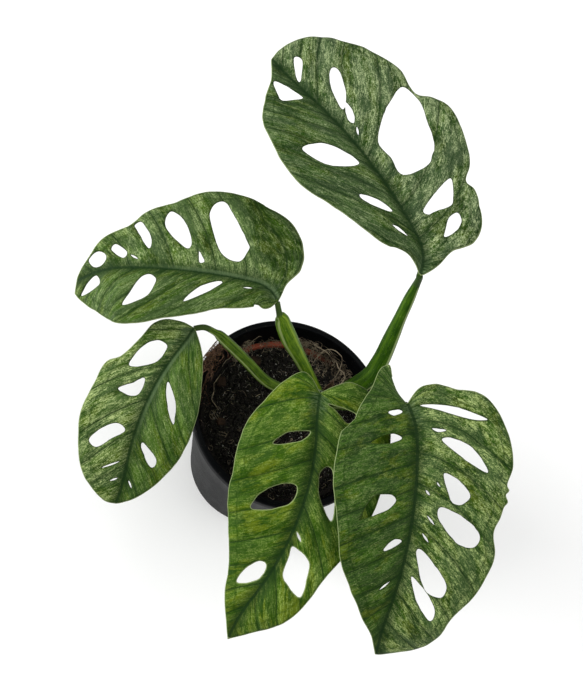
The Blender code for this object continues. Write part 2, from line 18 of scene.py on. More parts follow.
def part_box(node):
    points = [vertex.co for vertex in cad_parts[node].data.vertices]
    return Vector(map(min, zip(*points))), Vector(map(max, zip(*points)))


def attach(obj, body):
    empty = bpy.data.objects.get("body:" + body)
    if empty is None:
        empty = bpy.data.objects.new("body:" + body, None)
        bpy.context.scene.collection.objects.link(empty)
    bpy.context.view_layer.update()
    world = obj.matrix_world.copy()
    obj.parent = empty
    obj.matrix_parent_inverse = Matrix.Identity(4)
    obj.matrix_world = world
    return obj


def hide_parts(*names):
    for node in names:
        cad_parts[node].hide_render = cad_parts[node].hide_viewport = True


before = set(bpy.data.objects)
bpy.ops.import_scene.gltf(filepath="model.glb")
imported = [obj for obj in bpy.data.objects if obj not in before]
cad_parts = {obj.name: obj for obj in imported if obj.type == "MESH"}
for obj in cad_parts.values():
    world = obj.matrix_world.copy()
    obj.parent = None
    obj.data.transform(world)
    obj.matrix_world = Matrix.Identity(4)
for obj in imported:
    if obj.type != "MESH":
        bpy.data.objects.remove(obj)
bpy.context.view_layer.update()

MM = 0.001

# Places read from the frame.
POT_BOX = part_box("outer_pot")
LINER_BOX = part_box("liner_pot")
STEM_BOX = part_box("main_stem")
POT_HEIGHT = POT_BOX[1].z
POT_RIM_RADIUS = (POT_BOX[1].x - POT_BOX[0].x) / 2
LINER_TOP = LINER_BOX[1].z
LINER_BOTTOM = LINER_BOX[0].z
LINER_RIM_RADIUS = (LINER_BOX[1].x - LINER_BOX[0].x) / 2
STEM_MIDDLE = (STEM_BOX[0] + STEM_BOX[1]) / 2
CROWN = Vector((STEM_MIDDLE.x, STEM_MIDDLE.y, STEM_BOX[1].z))

# Sizes that the frame's boxes don't tell, as the frame has them.
POT_FOOT_RADIUS = 46 * MM
POT_WALL = 1.5 * MM
POT_LIP = 3 * MM
POT_LIP_DEPTH = 6 * MM
POT_FLOOR = 2 * MM
POT_FLOOR_LIFT = 2.5 * MM
POT_FOOT_RING = 3 * MM
POT_PAD_RADIUS = 12 * MM
DRAIN_RADIUS = 4 * MM
DRAIN_COUNT = 6
LINER_WALL = 1.2 * MM
LINER_LIP = 2.2 * MM
LINER_LIP_DEPTH = 4 * MM
LINER_FOOT_RADIUS = 42.1 * MM
SOIL_TOP = LINER_TOP - 4 * MM
SOIL_HUMP = 2.6 * MM
STEM_RADIUS = 4.6 * MM
BLADE_THICKNESS = 0.5 * MM
BLADE_GRID = 1.5 * MM
STATIONS = (0.0, 0.15, 0.8, 1.0)
TURNED_STEPS = 144


class Leaf(NamedTuple):
    """A leaf's place, course, flat outline, veins and tint.

    base is in mm from the crown. headings and pitches are the midrib's direction in degrees
    at STATIONS of its length. fold lifts the left and right halves at the midrib, and curl
    turns each half down by so many degrees in 100 mm. left and right are the margins from the
    stalk to the tip, windows the closed edges of the holes, and slits the narrowest holes, each
    given by the x and y of its two ends.
    fans gives each half's lateral veins as their run forwards for each mm outwards: at the
    stalk, how much more at the tip, and how much they sweep forwards towards the margin.
    halves says how much each half is flecked and greyed, painted light and shade for each folded half.
    """

    base: tuple
    length: float
    headings: tuple
    pitches: tuple
    fold: tuple
    curl: tuple
    left: list
    right: list
    windows: list
    slits: list
    fans: tuple
    tint: str
    painted_half_light: tuple
    # lit gives the side of the midrib that shows a painted highlight.
    lit: int = 0


LEAVES = {
    "a": Leaf(
        base=(31.4, 41.2, 94), length=173,
        headings=(66, 119, 133, 119), pitches=(14, 10, -4, -14),
        fold=(6, 6), curl=(-8, -8),
        left=[(0, 0), (8, 7), (20, 18), (34, 29), (52, 37), (70, 45), (88, 52), (104, 52),
              (122, 48), (138, 41), (148, 27), (158, 12), (173, 0)],
        right=[(0, 0), (6, -7), (14, -17), (17, -34), (24, -46), (35, -50), (42, -48),
               (50, -58), (66, -67), (82, -71), (92, -66), (98, -59), (104, -58),
               (116, -62), (130, -58), (150, -51), (168, -43), (177, -31), (178, -14), (173, 0)],
        windows=[
            [(107, -54), (95, -56), (82, -50), (70, -45), (64, -38), (60, -30), (62, -12), (75, -12),
             (87, -12), (99, -28), (104, -39)],
            [(165, -12), (160, -15), (148, -4), (151, -3)],
            [(142, -26), (136, -28), (122, -18), (116, -9), (125, -11), (136, -18)],
            [(119, -14), (111, -13), (105, -8), (110, -7)],
            [(155, 12), (147, 7), (137, 5), (142, 18), (148, 17)],
            [(108, 35), (105, 21), (94, 12), (82, 8), (83, 17), (92, 29)],
            [(64, 22), (56, 13), (46, 8), (48, 13), (59, 22)],
            [(38, 14), (35, 10), (28, 7), (32, 11)],
            [(47, -39), (37, -34), (33, -29), (34, -17), (34, -12), (38, -11), (44, -25)],
            [(28, -31), (24, -31), (21, -21), (21, -15), (27, -24)],
        ],
        slits=[(102, -7.5, 97.5, -5)],
        fans=((1.2, 0.2, 0.4), (0.0, 1.3, 0.8)), tint="grey", painted_half_light=(0.62, 1.08),
    ),
    "b": Leaf(
        base=(-48.4, 34.2, 62), length=124,
        headings=(111, 171, 174, 198), pitches=(6, 2, -22, -34),
        fold=(6, 6), curl=(-12, -12),
        left=[(0, 0), (-3, 7), (-2, 12.5), (6, 15.5), (16, 17.5), (24, 20.5), (38, 24), (55, 30), (72, 35),
              (88, 39), (100, 38), (114, 32), (124, 24), (131, 14), (134, 7)],
        right=[(0, 0), (5, -9), (6, -22), (10, -37), (17, -50), (30, -55), (46, -56),
               (60, -52), (72, -45), (88, -38), (97, -29), (110, -20), (118, -11),
               (129, -2), (134, 7)],
        windows=[
            [(44, -49), (37, -40), (27, -24), (26, -19), (31, -10), (42, -14), (51, -35), (50, -45)],
            [(74, -38), (65, -31), (60, -18), (63, -14), (73, -22), (77, -30)],
            [(91, -30), (84, -19), (85, -12), (93, -24), (95, -28)],
            [(104, -15), (98, -10), (100, -6), (106, -11)],
            [(113, -12), (109, -8), (113, -3), (118, -4), (119, -9)],
            [(55, -13), (51, -7), (54, -6)],
            [(117, 2), (115, 9), (125, 11), (130, 10), (123, 4)],
            [(82, 5), (78, 10), (83, 21), (96, 27), (92, 17), (87, 7)],
            [(42, 5), (39, 6), (47, 14), (60, 22), (53, 12)],
        ],
        slits=[(95.5, -8, 91, -5.5), (26, 6.5, 20, 5.2)],
        fans=((1.1, -0.1, 0.6), (0.1, 0.4, 0.6)), tint="olive", painted_half_light=(0.8, 1.1), lit=-1,
    ),
    "c": Leaf(
        base=(-97.2, 20.1, 48), length=117,
        headings=(241, 233, 262, 252), pitches=(0, -8, -32, -40),
        fold=(6, 6), curl=(-12, -12),
        left=[(0, 0), (7, 7), (16, 16), (28, 23), (44, 29), (60, 31), (76, 30), (90, 26),
              (103, 17), (112, 8), (118, 0)],
        right=[(0, 0), (2, -8), (6, -16), (14, -21), (26, -22), (38, -25), (45, -31),
               (58, -32), (72, -33), (88, -29), (102, -24), (112, -16), (118, -7), (118, 0)],
        windows=[
            [(21, -13), (21, -6), (31, -6), (39, -14), (40, -19), (29, -18)],
            [(43, -8), (45, -6), (52, -6), (55, -10), (54, -18), (48, -12)],
            [(71, -12), (74, -6), (80, -12), (86, -19), (83, -24), (77, -20)],
            [(38, 6), (47, 15), (58, 19), (61, 19), (55, 14), (43, 7)],
            [(78, 7), (86, 16), (92, 14), (81, 6)],
        ],
        slits=[(97, -14, 91.5, -4), (104.5, -7.5, 102, -3.5), (102, 3, 106, 6)],
        fans=((1.3, 0.0, 0.4), (0.8, 0.1, 0.4)), tint="light", painted_half_light=(0.45, 1.1), lit=1,
    ),
    "d": Leaf(
        base=(-29.1, -27.3, 72), length=158,
        headings=(255, 266, 232, 253), pitches=(5, -4, -40, -46),
        fold=(6, -8), curl=(-12, -25),
        left=[(0, 0), (-7, 9), (-11, 18), (-7, 30), (4, 39), (18, 43), (36, 42), (54, 40),
              (72, 36), (85, 31), (98, 27), (110, 26), (124, 23), (138, 17), (148, 9), (158, 0)],
        right=[(0, 0), (-8, -7), (-10, -13), (-3, -21), (10, -31), (24, -41), (44, -44),
               (62, -43), (77, -42), (96, -35), (113, -26), (130, -17), (146, -6), (158, 0)],
        windows=[
            [(35, -24), (27, -17), (25, -6), (26, -4), (32, -10)],
            [(78, -27), (68, -24), (59, -15), (58, -7), (66, -6), (73, -12), (80, -24)],
            [(126, -12), (117, -13), (107, -9), (107, -4), (117, -4)],
            [(90, 4), (93, 15), (102, 19), (111, 21), (109, 11), (105, 6), (95, 4)],
            [(7, 6), (10, 22), (18, 18), (11, 11)],
            [(47, 5), (45, 11), (69, 18), (65, 11), (57, 6)],
        ],
        slits=[(82, 2, 86, 6.5)],
        fans=((0.8, 0.6, 0.5), (0.2, 1.3, 0.4)), tint="fresh", painted_half_light=(1.15, 0.9),
    ),
    "e": Leaf(
        base=(18.3, -36.8, 85), length=153,
        headings=(291, 267, 256, 276), pitches=(8, -4, -40, -55),
        fold=(8, 8), curl=(-16, -16),
        left=[(0, 0), (-5, 10), (-4, 20), (2, 30), (5, 42), (11, 50), (22, 55), (34, 56),
              (43, 53), (46, 54.2), (48.5, 52.4), (52, 53.8), (55, 51.5), (60, 50), (68, 47),
              (80, 50), (92, 47), (104, 42), (118, 34), (132, 32), (146, 26), (152, 12), (153, 0)],
        right=[(0, 0), (-8, -2), (-18, 0), (-26, 2), (-25, -5), (-15, -17), (-6, -30), (5, -40),
               (21, -46), (38, -49), (54, -49), (77, -43), (97, -37), (112, -27),
               (126, -16), (138, -6), (153, 0)],
        windows=[
            [(4, 6), (8, 23), (12, 35), (15, 43), (14, 31), (9, 16)],
            [(17, 9), (18, 17), (19, 12)],
            [(22, 14), (22, 23), (27, 33), (38, 41), (34, 30), (26, 17)],
            [(41, 15), (44, 24), (51, 31), (56, 27), (56, 21), (49, 17)],
            [(59, 15), (63, 29), (70, 39), (77, 37), (76, 26), (65, 14)],
            [(83, 7), (90, 17), (99, 26), (106, 25), (104, 15), (88, 6)],
            [(99, 7), (106, 17), (114, 24), (120, 23), (112, 13), (102, 7)],
            [(3, -15), (3, -8), (5, -6), (7, -13)],
            [(28, -29), (21, -17), (23, -10), (27, -17)],
            [(71, -31), (59, -26), (56, -16), (59, -12), (65, -17), (72, -30)],
            [(86, -14), (80, -9), (81, -4), (87, -12)],
        ],
        slits=[(64.5, 7.5, 69, 12.5), (74.5, 6.5, 78.5, 10.5), (51, 5.5, 53.5, 7.8), (46, 11, 48.5, 13.3),
               (110, -10, 104, -5)],
        fans=((0.0, 0.9, 1.0), (0.1, 1.0, 0.3)), tint="deep", painted_half_light=(1.15, 0.4),
    ),
}


class Stalk(NamedTuple):
    """A leaf stalk's route in mm from the crown, and its radius in mm at each place.

    It leaves the stem in the direction leaves, in degrees, and ends under its leaf's base.
    The sheath covers it up to the share sheath of its length.
    """

    leaves: float
    root_radius: float
    rise: float
    route: list
    neck_radius: float
    sheath: float


STALKS = {
    "a": Stalk(5, 5.2, 4, [(20, 4, 15, 6.3), (26, 12, 28, 5.7), (29, 22, 43, 5.0), (31, 30, 56, 4.0),
                           (33, 37.5, 69, 3.5), (33.5, 41, 79, 2.6), (33, 42.5, 88, 2.1)], 2.0, 0.8),
    "b": Stalk(125, 4.2, 4, [(-20.5, 11, 15, 4.1), (-32.4, 17.3, 33, 5.1), (-36.6, 19.8, 39, 5.5),
                             (-41.1, 24.3, 45.5, 5.2), (-43.4, 26.7, 49.5, 4.7),
                             (-44.6, 27.6, 51.8, 3.6), (-46.3, 28.6, 54, 2.1)], 1.8, 0.88),
    "c": Stalk(185, 3.2, 2, [(-28, -3, 6, 3.4), (-46, 0, 15, 3.5), (-63, 9, 28, 3.5),
                             (-79, 17, 40, 3.4), (-84, 19, 43, 2.1), (-91, 20.5, 46, 1.9)], 1.8, 0.82),
    "d": Stalk(245, 3.0, 8, [(-8, -12, 20, 3.0), (-20, -20, 45, 2.8), (-27, -25, 62, 2.4)], 2.0, 0.7),
    "e": Stalk(300, 3.2, 4, [(10, -15, 18, 3.2), (15, -26, 45, 2.8), (18, -33, 70, 2.4)], 2.0, 0.7),
}

# Wiry roots: radius in mm, then the route as x and y in hundredths of the liner's rim radius
# from the pot's axis, and mm above the liner's rim.
ROOTS = {
    "root_over_rim": (0.5, [(19, 76, -1), (25, 83, 3), (33, 92, 6), (46, 89, 7.5), (58, 79, 6.5),
                            (69, 66, 5), (77, 56, 4), (74, 48, 2.5), (67, 42, -1)]),
    "root_loop": (0.4, [(35, 65, -1), (39, 72, 3), (44, 79, 7), (52, 83, 12), (62, 80, 14.5),
                        (69, 72, 13), (70, 63, 9), (65, 55, 4), (60, 51, -1)]),
    "root_strand_left": (0.45, [(-74, 53, 1), (-83, 39, 1), (-85, 21, 1), (-77, 9, -1)]),
    "root_strand_front": (0.45, [(-39, -67, -0.5), (-14, -74, 2), (14, -76, 2.4), (42, -67, -0.5)]),
}


# ---------------------------------------------------------------- shaders


# The third pitch of a pattern on a UV map, whose places have no third coordinate.
FLAT = 1


class Value:
    """A shader socket that takes part in Python expressions: each operator adds a Math node."""

    def __init__(self, shader, socket):
        self.shader = shader
        self.socket = socket

    def maths(self, operation, *values):
        sockets = dict(enumerate(values))
        node = self.shader.node("ShaderNodeMath", {"operation": operation}, sockets)
        return Value(self.shader, node.outputs[0])

    def __add__(self, other):
        return self.maths("ADD", self, other)

    def __radd__(self, other):
        return self.maths("ADD", other, self)

    def __sub__(self, other):
        return self.maths("SUBTRACT", self, other)

    def __rsub__(self, other):
        return self.maths("SUBTRACT", other, self)

    def __mul__(self, other):
        return self.maths("MULTIPLY", self, other)

    def __rmul__(self, other):
        return self.maths("MULTIPLY", other, self)

    def __abs__(self):
        return self.maths("ABSOLUTE", self)

    def step(self, low, high):
        """0 below low, 1 above high, and a soft step between; low may be above high."""
        if low > high:
            return 1 - self.step(high, low)
        node = self.shader.node(
            "ShaderNodeMapRange", {"interpolation_type": "SMOOTHSTEP"},
            {"Value": self, "From Min": low, "From Max": high},
        )
        return Value(self.shader, node.outputs[0])

    def to_nearest_whole(self):
        """The distance to the nearest whole number."""
        return abs(self - self.maths("ROUND", self))


class Shader:
    """A material being made. One method adds any node; the others name the usual ones."""

    def __init__(self, name, roughness=0.5, **constants):
        self.material = bpy.data.materials.new(name)
        self.material.use_nodes = True
        self.tree = self.material.node_tree
        self.surface = self.tree.nodes["Principled BSDF"]
        self.surface.inputs["Roughness"].default_value = roughness
        for socket, value in constants.items():
            self.surface.inputs[socket.replace("_", " ")].default_value = value

    def link(self, value, socket):
        if isinstance(value, Value):
            value = value.socket
        if isinstance(value, bpy.types.NodeSocket):
            self.tree.links.new(value, socket)
        else:
            socket.default_value = value

    def node(self, kind, settings=None, sockets=None):
        """Adds a node: its settings are set first, then its sockets' values or links."""
        made = self.tree.nodes.new(kind)
        for name, value in (settings or {}).items():
            setattr(made, name, value)
        for key, value in (sockets or {}).items():
            self.link(value, made.inputs[key])
        return made

    def place(self):
        """Object coordinates."""
        return self.node("ShaderNodeTexCoord").outputs["Object"]

    def uv(self, name):
        return self.node("ShaderNodeUVMap", {"uv_map": name}).outputs[0]

    def attribute(self, name):
        return Value(self, self.node("ShaderNodeAttribute", {"attribute_name": name}).outputs["Fac"])

    def parts(self, vector):
        """A vector's x and y as values."""
        split = self.node("ShaderNodeSeparateXYZ", None, {0: vector})
        return Value(self, split.outputs[0]), Value(self, split.outputs[1])

    def stretched(self, vector, pitches, shift=0.0):
        """The vector in cycles of the given pitch: a number, or one each along x, y and z."""
        if isinstance(pitches, float):
            pitches = (pitches,) * 3
        node = self.node("ShaderNodeMapping", None, {
            "Vector": vector,
            "Location": (shift, shift * 1.7, shift * 0.6),
            "Scale": tuple(1 / pitch for pitch in pitches),
        })
        return node.outputs[0]

    def noise(self, vector, pitches, detail=3, roughness=0.6, distortion=0.0, shift=0.0):
        """Noise from 0 to 1. The pitches are in the vector's units; a UV map's third is FLAT."""
        node = self.node("ShaderNodeTexNoise", {"noise_dimensions": "3D"}, {
            "Vector": self.stretched(vector, pitches, shift), "Scale": 1.0, "Detail": detail,
            "Roughness": roughness, "Distortion": distortion,
        })
        return Value(self, node.outputs[0])

    def cells(self, vector, pitch):
        """A random number for each cell of a Voronoi pattern."""
        node = self.node("ShaderNodeTexVoronoi", None,
                         {"Vector": self.stretched(vector, pitch), "Scale": 1.0})
        return self.parts(node.outputs["Color"])[0]

    def mix(self, share, first, second):
        """A colour from first, at share 0, to second, at share 1."""
        colours = [c if isinstance(c, bpy.types.NodeSocket) else (*c, 1.0) for c in (first, second)]
        node = self.node("ShaderNodeMix", {"data_type": "RGBA"},
                         {0: share, 6: colours[0], 7: colours[1]})
        return node.outputs[2]

    def bump(self, height, depth, strength):
        node = self.node("ShaderNodeBump", None,
                         {"Height": height, "Distance": depth, "Strength": strength})
        self.link(node.outputs[0], self.surface.inputs["Normal"])

    def finish(self, colour, roughness=None):
        self.link(colour, self.surface.inputs["Base Color"])
        if roughness is not None:
            self.link(roughness, self.surface.inputs["Roughness"])
        return self.material


def colour(red, green, blue):
    """A colour given as 0 to 255 screen values, as the linear numbers that a shader takes."""
    return tuple(
        c / 255 / 12.92 if c / 255 <= 0.04045 else ((c / 255 + 0.055) / 1.055) ** 2.4
        for c in (red, green, blue)
    )


class Tint(NamedTuple):
    """A leaf's colours, and how strongly it is flecked, greyed by painted sheen and yellowed, from 0 to 1.
    """

    dark: tuple
    light: tuple
    pale: tuple
    # grey is the colour of the painted sheen.
    grey: tuple
    flecked: float
    painted_sheen: float
    warm: float


TINTS = {
    "grey": Tint(colour(18, 42, 7), colour(44, 74, 12), colour(168, 182, 134), colour(72, 90, 62),
                 0.76, 0.48, 0.25),
    "olive": Tint(colour(24, 46, 7), colour(54, 83, 14), colour(150, 167, 112), colour(72, 91, 56),
                  0.6, 0.5, 0.28),
    "light": Tint(colour(26, 52, 6), colour(60, 90, 15), colour(176, 192, 128), colour(74, 96, 58),
                  0.78, 0.4, 0.4),
    "fresh": Tint(colour(24, 54, 1), colour(52, 82, 3), colour(150, 170, 88), colour(60, 86, 32),
                  0.38, 0.4, 0.65),
    "deep": Tint(colour(17, 42, 4), colour(47, 79, 9), colour(160, 176, 112), colour(66, 88, 50),
                 0.76, 0.5, 0.45),
}
RIB_GREEN = colour(20, 42, 15)
RIB_GREY = colour(88, 108, 74)
WARM_GREEN = colour(92, 106, 12)
EDGE_PALE = colour(150, 164, 112)
EDGE_DARK = colour(40, 54, 26)


class BladeGrain:
    """A blade's places in vein space, and the noises that its flecks and veins share."""

    def __init__(self, shader, shift):
        self.shift = shift
        self.veins = veins = shader.uv("veins")
        self.along, self.aside = shader.parts(veins)
        self.clouds = shader.noise(veins, (9 * MM, 17 * MM, FLAT), shift=shift)
        self.streaks = shader.noise(veins, (0.85 * MM, 3.4 * MM, FLAT), 4, 0.75, 1.3, shift + 3)
        self.threads = shader.noise(veins, (0.6 * MM, 6 * MM, FLAT), 3, 0.65, 0.7, shift + 11)
        self.dots = shader.noise(shader.place(), 0.8 * MM, 3, 0.7)


def flecked_green(shader, leaf, grain):
    """Dark green under paler clouds, fine pale flecks and threads crowded in patches, and painted sheen."""
    dark, light, pale, grey, flecked, painted_sheen, warm = TINTS[leaf.tint]
    veins, clouds, streaks, threads, dots = (
        grain.veins, grain.clouds, grain.streaks, grain.threads, grain.dots)
    patches = shader.noise(veins, (4 * MM, 9 * MM, FLAT), 4, 0.65, 0.4, grain.shift + 7)
    squiggles = shader.noise(veins, (2.2 * MM, 6 * MM, FLAT), 3, 0.7, 1.2, grain.shift + 23)
    sheen = shader.noise(veins, (14 * MM, 26 * MM, FLAT), 3, 0.55, shift=grain.shift + 19)
    blots = shader.noise(shader.place(), 2.6 * MM, 4, 0.65, 0.6, grain.shift)

    # Painted light and shade: the half facing the light is flecked and greyed more, the other kept darker.
    left, right = leaf.painted_half_light
    half = right + (left - right) * grain.aside.step(-1 * MM, 1 * MM)
    ground = shader.mix((clouds * 0.5 + threads * 0.5).step(0.4, 0.6), dark, light)
    ground = shader.mix((patches * 0.5 + sheen * 0.5).step(0.5, 0.62) * warm, ground, WARM_GREEN)
    # Painted sheen: grey patches where the satin blade would catch the light.
    ground = shader.mix(sheen.step(0.54, 0.46) * (0.3 + threads) * painted_sheen * half, ground, grey)
    # More painted sheen, in smaller grey blots.
    ground = shader.mix(blots.step(0.5, 0.57) * 0.4 * painted_sheen * half, ground, grey)
    amount = (patches * 0.4 + clouds * 0.4 + blots * 0.2).step(0.42, 0.57) * half
    strong = flecked * (0.2 + 0.8 * amount) * (0.4 + 0.6 * half)
    grainy = streaks * 0.7 + dots * 0.3
    ground = shader.mix((grainy + amount * 0.04).step(0.5, 0.56) * 0.42 * strong, ground, pale)
    ground = shader.mix((grainy + amount * 0.03).step(0.57, 0.61) * strong, ground, pale)
    line = abs(squiggles - 0.5).step(0.035, 0.008) * dots.step(0.42, 0.56)
    ground = shader.mix(line * 0.75 * strong, ground, pale)
    ground = shader.mix((threads * 0.75 + dots * 0.25).step(0.58, 0.64) * 0.6 * strong, ground, pale)
    return shader.mix((threads * 0.6 + streaks * 0.4).step(0.45, 0.38) * 0.7, ground, dark)


def veined(shader, leaf, grain, ground, from_vein, margin):
    """Dark lines over the lateral veins and the margin, painted shade in the midrib's valley and a painted
    highlight.
    """
    dark = TINTS[leaf.tint].dark
    clouds, streaks, threads = grain.clouds, grain.streaks, grain.threads
    wander = 0.4 + 0.9 * clouds
    ground = shader.mix(from_vein.step(2.4 * MM, 0.3 * MM) * 0.42 * wander, ground, dark)
    ground = shader.mix(from_vein.step(0.5 * MM, 0.12 * MM) * 0.8 * wander, ground, RIB_GREEN)
    edge_vein = abs(margin - 5.5 * MM - (clouds - 0.5) * 5 * MM)
    ground = shader.mix(edge_vein.step(0.9 * MM, 0.15 * MM) * 0.5 * wander, ground, dark)

    from_midrib = abs(grain.aside)
    ahead = grain.along.step(-4 * MM, 1 * MM)
    # Painted shade: a dark band in the valley either side of the midrib.
    valley_shade = (from_midrib + (threads - 0.5) * 7 * MM).step(7.5 * MM, 1.2 * MM) * ahead
    ground = shader.mix(valley_shade * (0.5 + 0.35 * threads), ground, RIB_GREEN)
    joint = (from_midrib + (threads - 0.5) * 9 * MM).step(9 * MM, 2 * MM)
    joint = grain.along.step(20 * MM, 2 * MM) * joint
    joint = joint * ahead * (streaks * 0.5 + threads * 0.5).step(0.44, 0.56)
    ground = shader.mix(joint * 0.6, ground, RIB_GREY)
    rib = from_midrib.step(1.2 * MM, 0.5 * MM) * ahead
    ground = shader.mix(rib * 0.8, ground, RIB_GREEN)
    # Painted highlight: a pale grey-green band along the midrib on its lit side.
    if leaf.lit:
        highlight_band = abs(grain.aside * leaf.lit - 1.3 * MM) + (threads - 0.5) * 1.5 * MM
        reach = grain.along.step(leaf.length * 0.8 * MM, leaf.length * 0.3 * MM)
        share = highlight_band.step(1.4 * MM, 0.5 * MM) * reach * ahead * (0.15 + 0.6 * threads)
        ground = shader.mix(share, ground, RIB_GREY)
    return ground


def edged(shader, leaf, ground, margin):
    """A rim round each window, and a thin pale line along the margin: its pale edge and a painted
    highlight.
    """
    rim = EDGE_PALE if leaf.tint == "fresh" else EDGE_DARK
    ground = shader.mix(shader.attribute("hole").step(0.7 * MM, 0.2 * MM) * 0.6, ground, rim)
    ground = shader.mix(margin.step(1.3 * MM, 0.7 * MM) * 0.35, ground, TINTS[leaf.tint].dark)
    # The thin pale line along the margin: the leaf's pale edge and a painted highlight on it.
    return shader.mix(margin.step(0.55 * MM, 0.15 * MM) * 0.6, ground, EDGE_PALE)


def blade_material(letter, leaf, shift):
    """The upper side: flecked green with its veins and edges, finely corded and grained."""
    shader = Shader("blade_" + letter, roughness=0.45, Specular_IOR_Level=0.05)
    grain = BladeGrain(shader, shift)
    margin = shader.attribute("margin")
    panel, panel_width = shader.parts(shader.uv("panels"))
    from_vein = panel.to_nearest_whole() * panel_width + (grain.streaks - 0.5) * 0.5 * MM
    ground = flecked_green(shader, leaf, grain)
    ground = veined(shader, leaf, grain, ground, from_vein, margin)
    ground = edged(shader, leaf, ground, margin)

    cords = shader.noise(grain.veins, (1.5 * MM, 12 * MM, FLAT), shift=shift + 5)
    fine = shader.noise(shader.place(), 1.0 * MM, 3, 0.65)
    relief = cords * 0.5 + fine * 0.5 + grain.threads * 0.3
    shader.bump(relief - from_vein.step(0.9 * MM, 0.1 * MM) * 0.5, 0.5 * MM, 0.6)
    return shader.finish(ground, 0.42 + 0.2 * fine)


def underside_material():
    """The lower side: paler, plainer and duller, with the mottling only faint."""
    shader = Shader("blade_underside", roughness=0.6)
    veins = shader.uv("veins")
    panel, panel_width = shader.parts(shader.uv("panels"))
    clouds = shader.noise(veins, (8 * MM, 16 * MM, FLAT))
    streaks = shader.noise(veins, (0.8 * MM, 5 * MM, FLAT))
    ground = shader.mix(clouds.step(0.35, 0.65), colour(78, 104, 54), colour(98, 124, 68))
    ground = shader.mix(streaks.step(0.54, 0.68) * 0.4, ground, colour(134, 154, 100))
    line = (panel.to_nearest_whole() * panel_width).step(0.8 * MM, 0.2 * MM)
    ground = shader.mix(line * 0.6, ground, colour(118, 142, 84))
    shader.bump(line + 0.4 * streaks, 0.4 * MM, 0.5)
    return shader.finish(ground, 0.5 + 0.2 * streaks)


# Each stalk's deep green, its bright green, and the painted highlight down its trough.
STALK_GREENS = {
    "a": (colour(24, 54, 2), colour(52, 84, 5), colour(70, 102, 14)),
    "b": (colour(46, 78, 8), colour(92, 120, 24), colour(132, 156, 44)),
    "c": (colour(32, 56, 6), colour(82, 108, 24), colour(96, 124, 36)),
    "d": (colour(40, 66, 14), colour(78, 106, 32), colour(84, 112, 38)),
    "e": (colour(40, 66, 14), colour(78, 106, 32), colour(84, 112, 38)),
}
PALE_SKIN = colour(150, 164, 106)
DULL_NECK = colour(46, 62, 34)


def stalk_material(letter):
    """Smooth green skin, fine lengthwise lines, a painted highlight on top, pale wing edges, a dull neck.
    """
    deep, bright, highlight_green = STALK_GREENS[letter]
    shader = Shader("stalk_" + letter, roughness=0.35, Specular_IOR_Level=0.07)
    skin = shader.uv("skin")
    lines = shader.noise(skin, (0.02, 16 * MM, FLAT))
    streaks = shader.noise(skin, (0.06, 9 * MM, FLAT), shift=5)
    clouds = shader.noise(shader.place(), 7 * MM)
    specks = shader.noise(shader.place(), 0.8 * MM, 2)
    ground = shader.mix((lines * 0.45 + streaks * 0.4 + clouds * 0.15).step(0.38, 0.62), deep, bright)
    # Painted highlight: a brighter green line down the top of the stalk.
    ground = shader.mix(shader.attribute("trough_highlight") * (0.5 + 0.5 * streaks), ground, highlight_green)
    ground = shader.mix(specks.step(0.62, 0.74) * 0.3, ground, PALE_SKIN)
    ground = shader.mix(streaks.step(0.5, 0.36) * 0.4, ground, deep)
    ground = shader.mix(shader.attribute("wing").step(0.35, 0.9) * 0.6, ground, PALE_SKIN)
    ground = shader.mix(shader.attribute("dull") * 0.75, ground, DULL_NECK)
    shader.bump(lines * 0.7 + specks * 0.3, 0.25 * MM, 0.5)
    return shader.finish(ground, 0.36 + 0.2 * lines)


def stem_material():
    """Green and olive skin with brown scars round it."""
    shader = Shader("stem_skin", roughness=0.55)
    clouds = shader.noise(shader.place(), (3 * MM, 3 * MM, 6 * MM), 4)
    scars = shader.noise(shader.place(), (5 * MM, 5 * MM, 1.4 * MM), 3, 0.5)
    ground = shader.mix(clouds.step(0.35, 0.65), colour(58, 78, 28), colour(98, 112, 52))
    ground = shader.mix(scars.step(0.56, 0.7) * 0.7, ground, colour(92, 74, 50))
    shader.bump(clouds * 0.5 + scars * 0.5, 0.6 * MM, 0.7)
    return shader.finish(ground, 0.45 + 0.25 * clouds)


def pot_material():
    """Black moulded plastic: fine grain, faint turning lines, dust and scuffs on the lip."""
    shader = Shader("black_plastic", roughness=0.4, Specular_IOR_Level=0.06)
    place = shader.place()
    grain = shader.noise(place, 0.5 * MM)
    dust = shader.noise(place, (9 * MM, 9 * MM, 14 * MM), 5, 0.65)
    scuffs = shader.noise(place, (6 * MM, 6 * MM, 0.5 * MM), distortion=0.5)
    specks = shader.noise(place, 0.9 * MM, 2, 0.5, shift=6)
    ground = shader.mix(dust.step(0.42, 0.75) * 0.3, colour(3, 4, 6), colour(22, 22, 23))
    ground = shader.mix(scuffs.step(0.64, 0.76) * 0.25, ground, colour(70, 70, 70))
    ground = shader.mix(specks.step(0.7, 0.76) * 0.6, ground, colour(92, 84, 74))
    shader.bump(grain * 0.7 + scuffs * 0.3, 0.15 * MM, 0.5)
    return shader.finish(ground, 0.34 + 0.2 * dust + 0.12 * grain)


def liner_material():
    """Thin terracotta plastic, soiled with peat except at the back."""
    shader = Shader("terracotta_plastic", roughness=0.55, Specular_IOR_Level=0.12)
    place = shader.place()
    soil = shader.noise(place, (5 * MM, 5 * MM, 3 * MM), 5, 0.65)
    grain = shader.noise(place, 0.6 * MM, 2, 0.5)
    back = shader.parts(place)[1]
    clean = (back + (soil - 0.5) * 16 * MM).step(40 * MM, 50 * MM)
    ground = shader.mix(clean, colour(25, 20, 18), colour(132, 66, 48))
    ground = shader.mix(grain.step(0.62, 0.75) * 0.3, ground, colour(112, 88, 74))
    shader.bump(soil * 0.5 + grain * 0.5, 0.3 * MM, 0.6)
    return shader.finish(ground, 0.5 + 0.25 * soil)


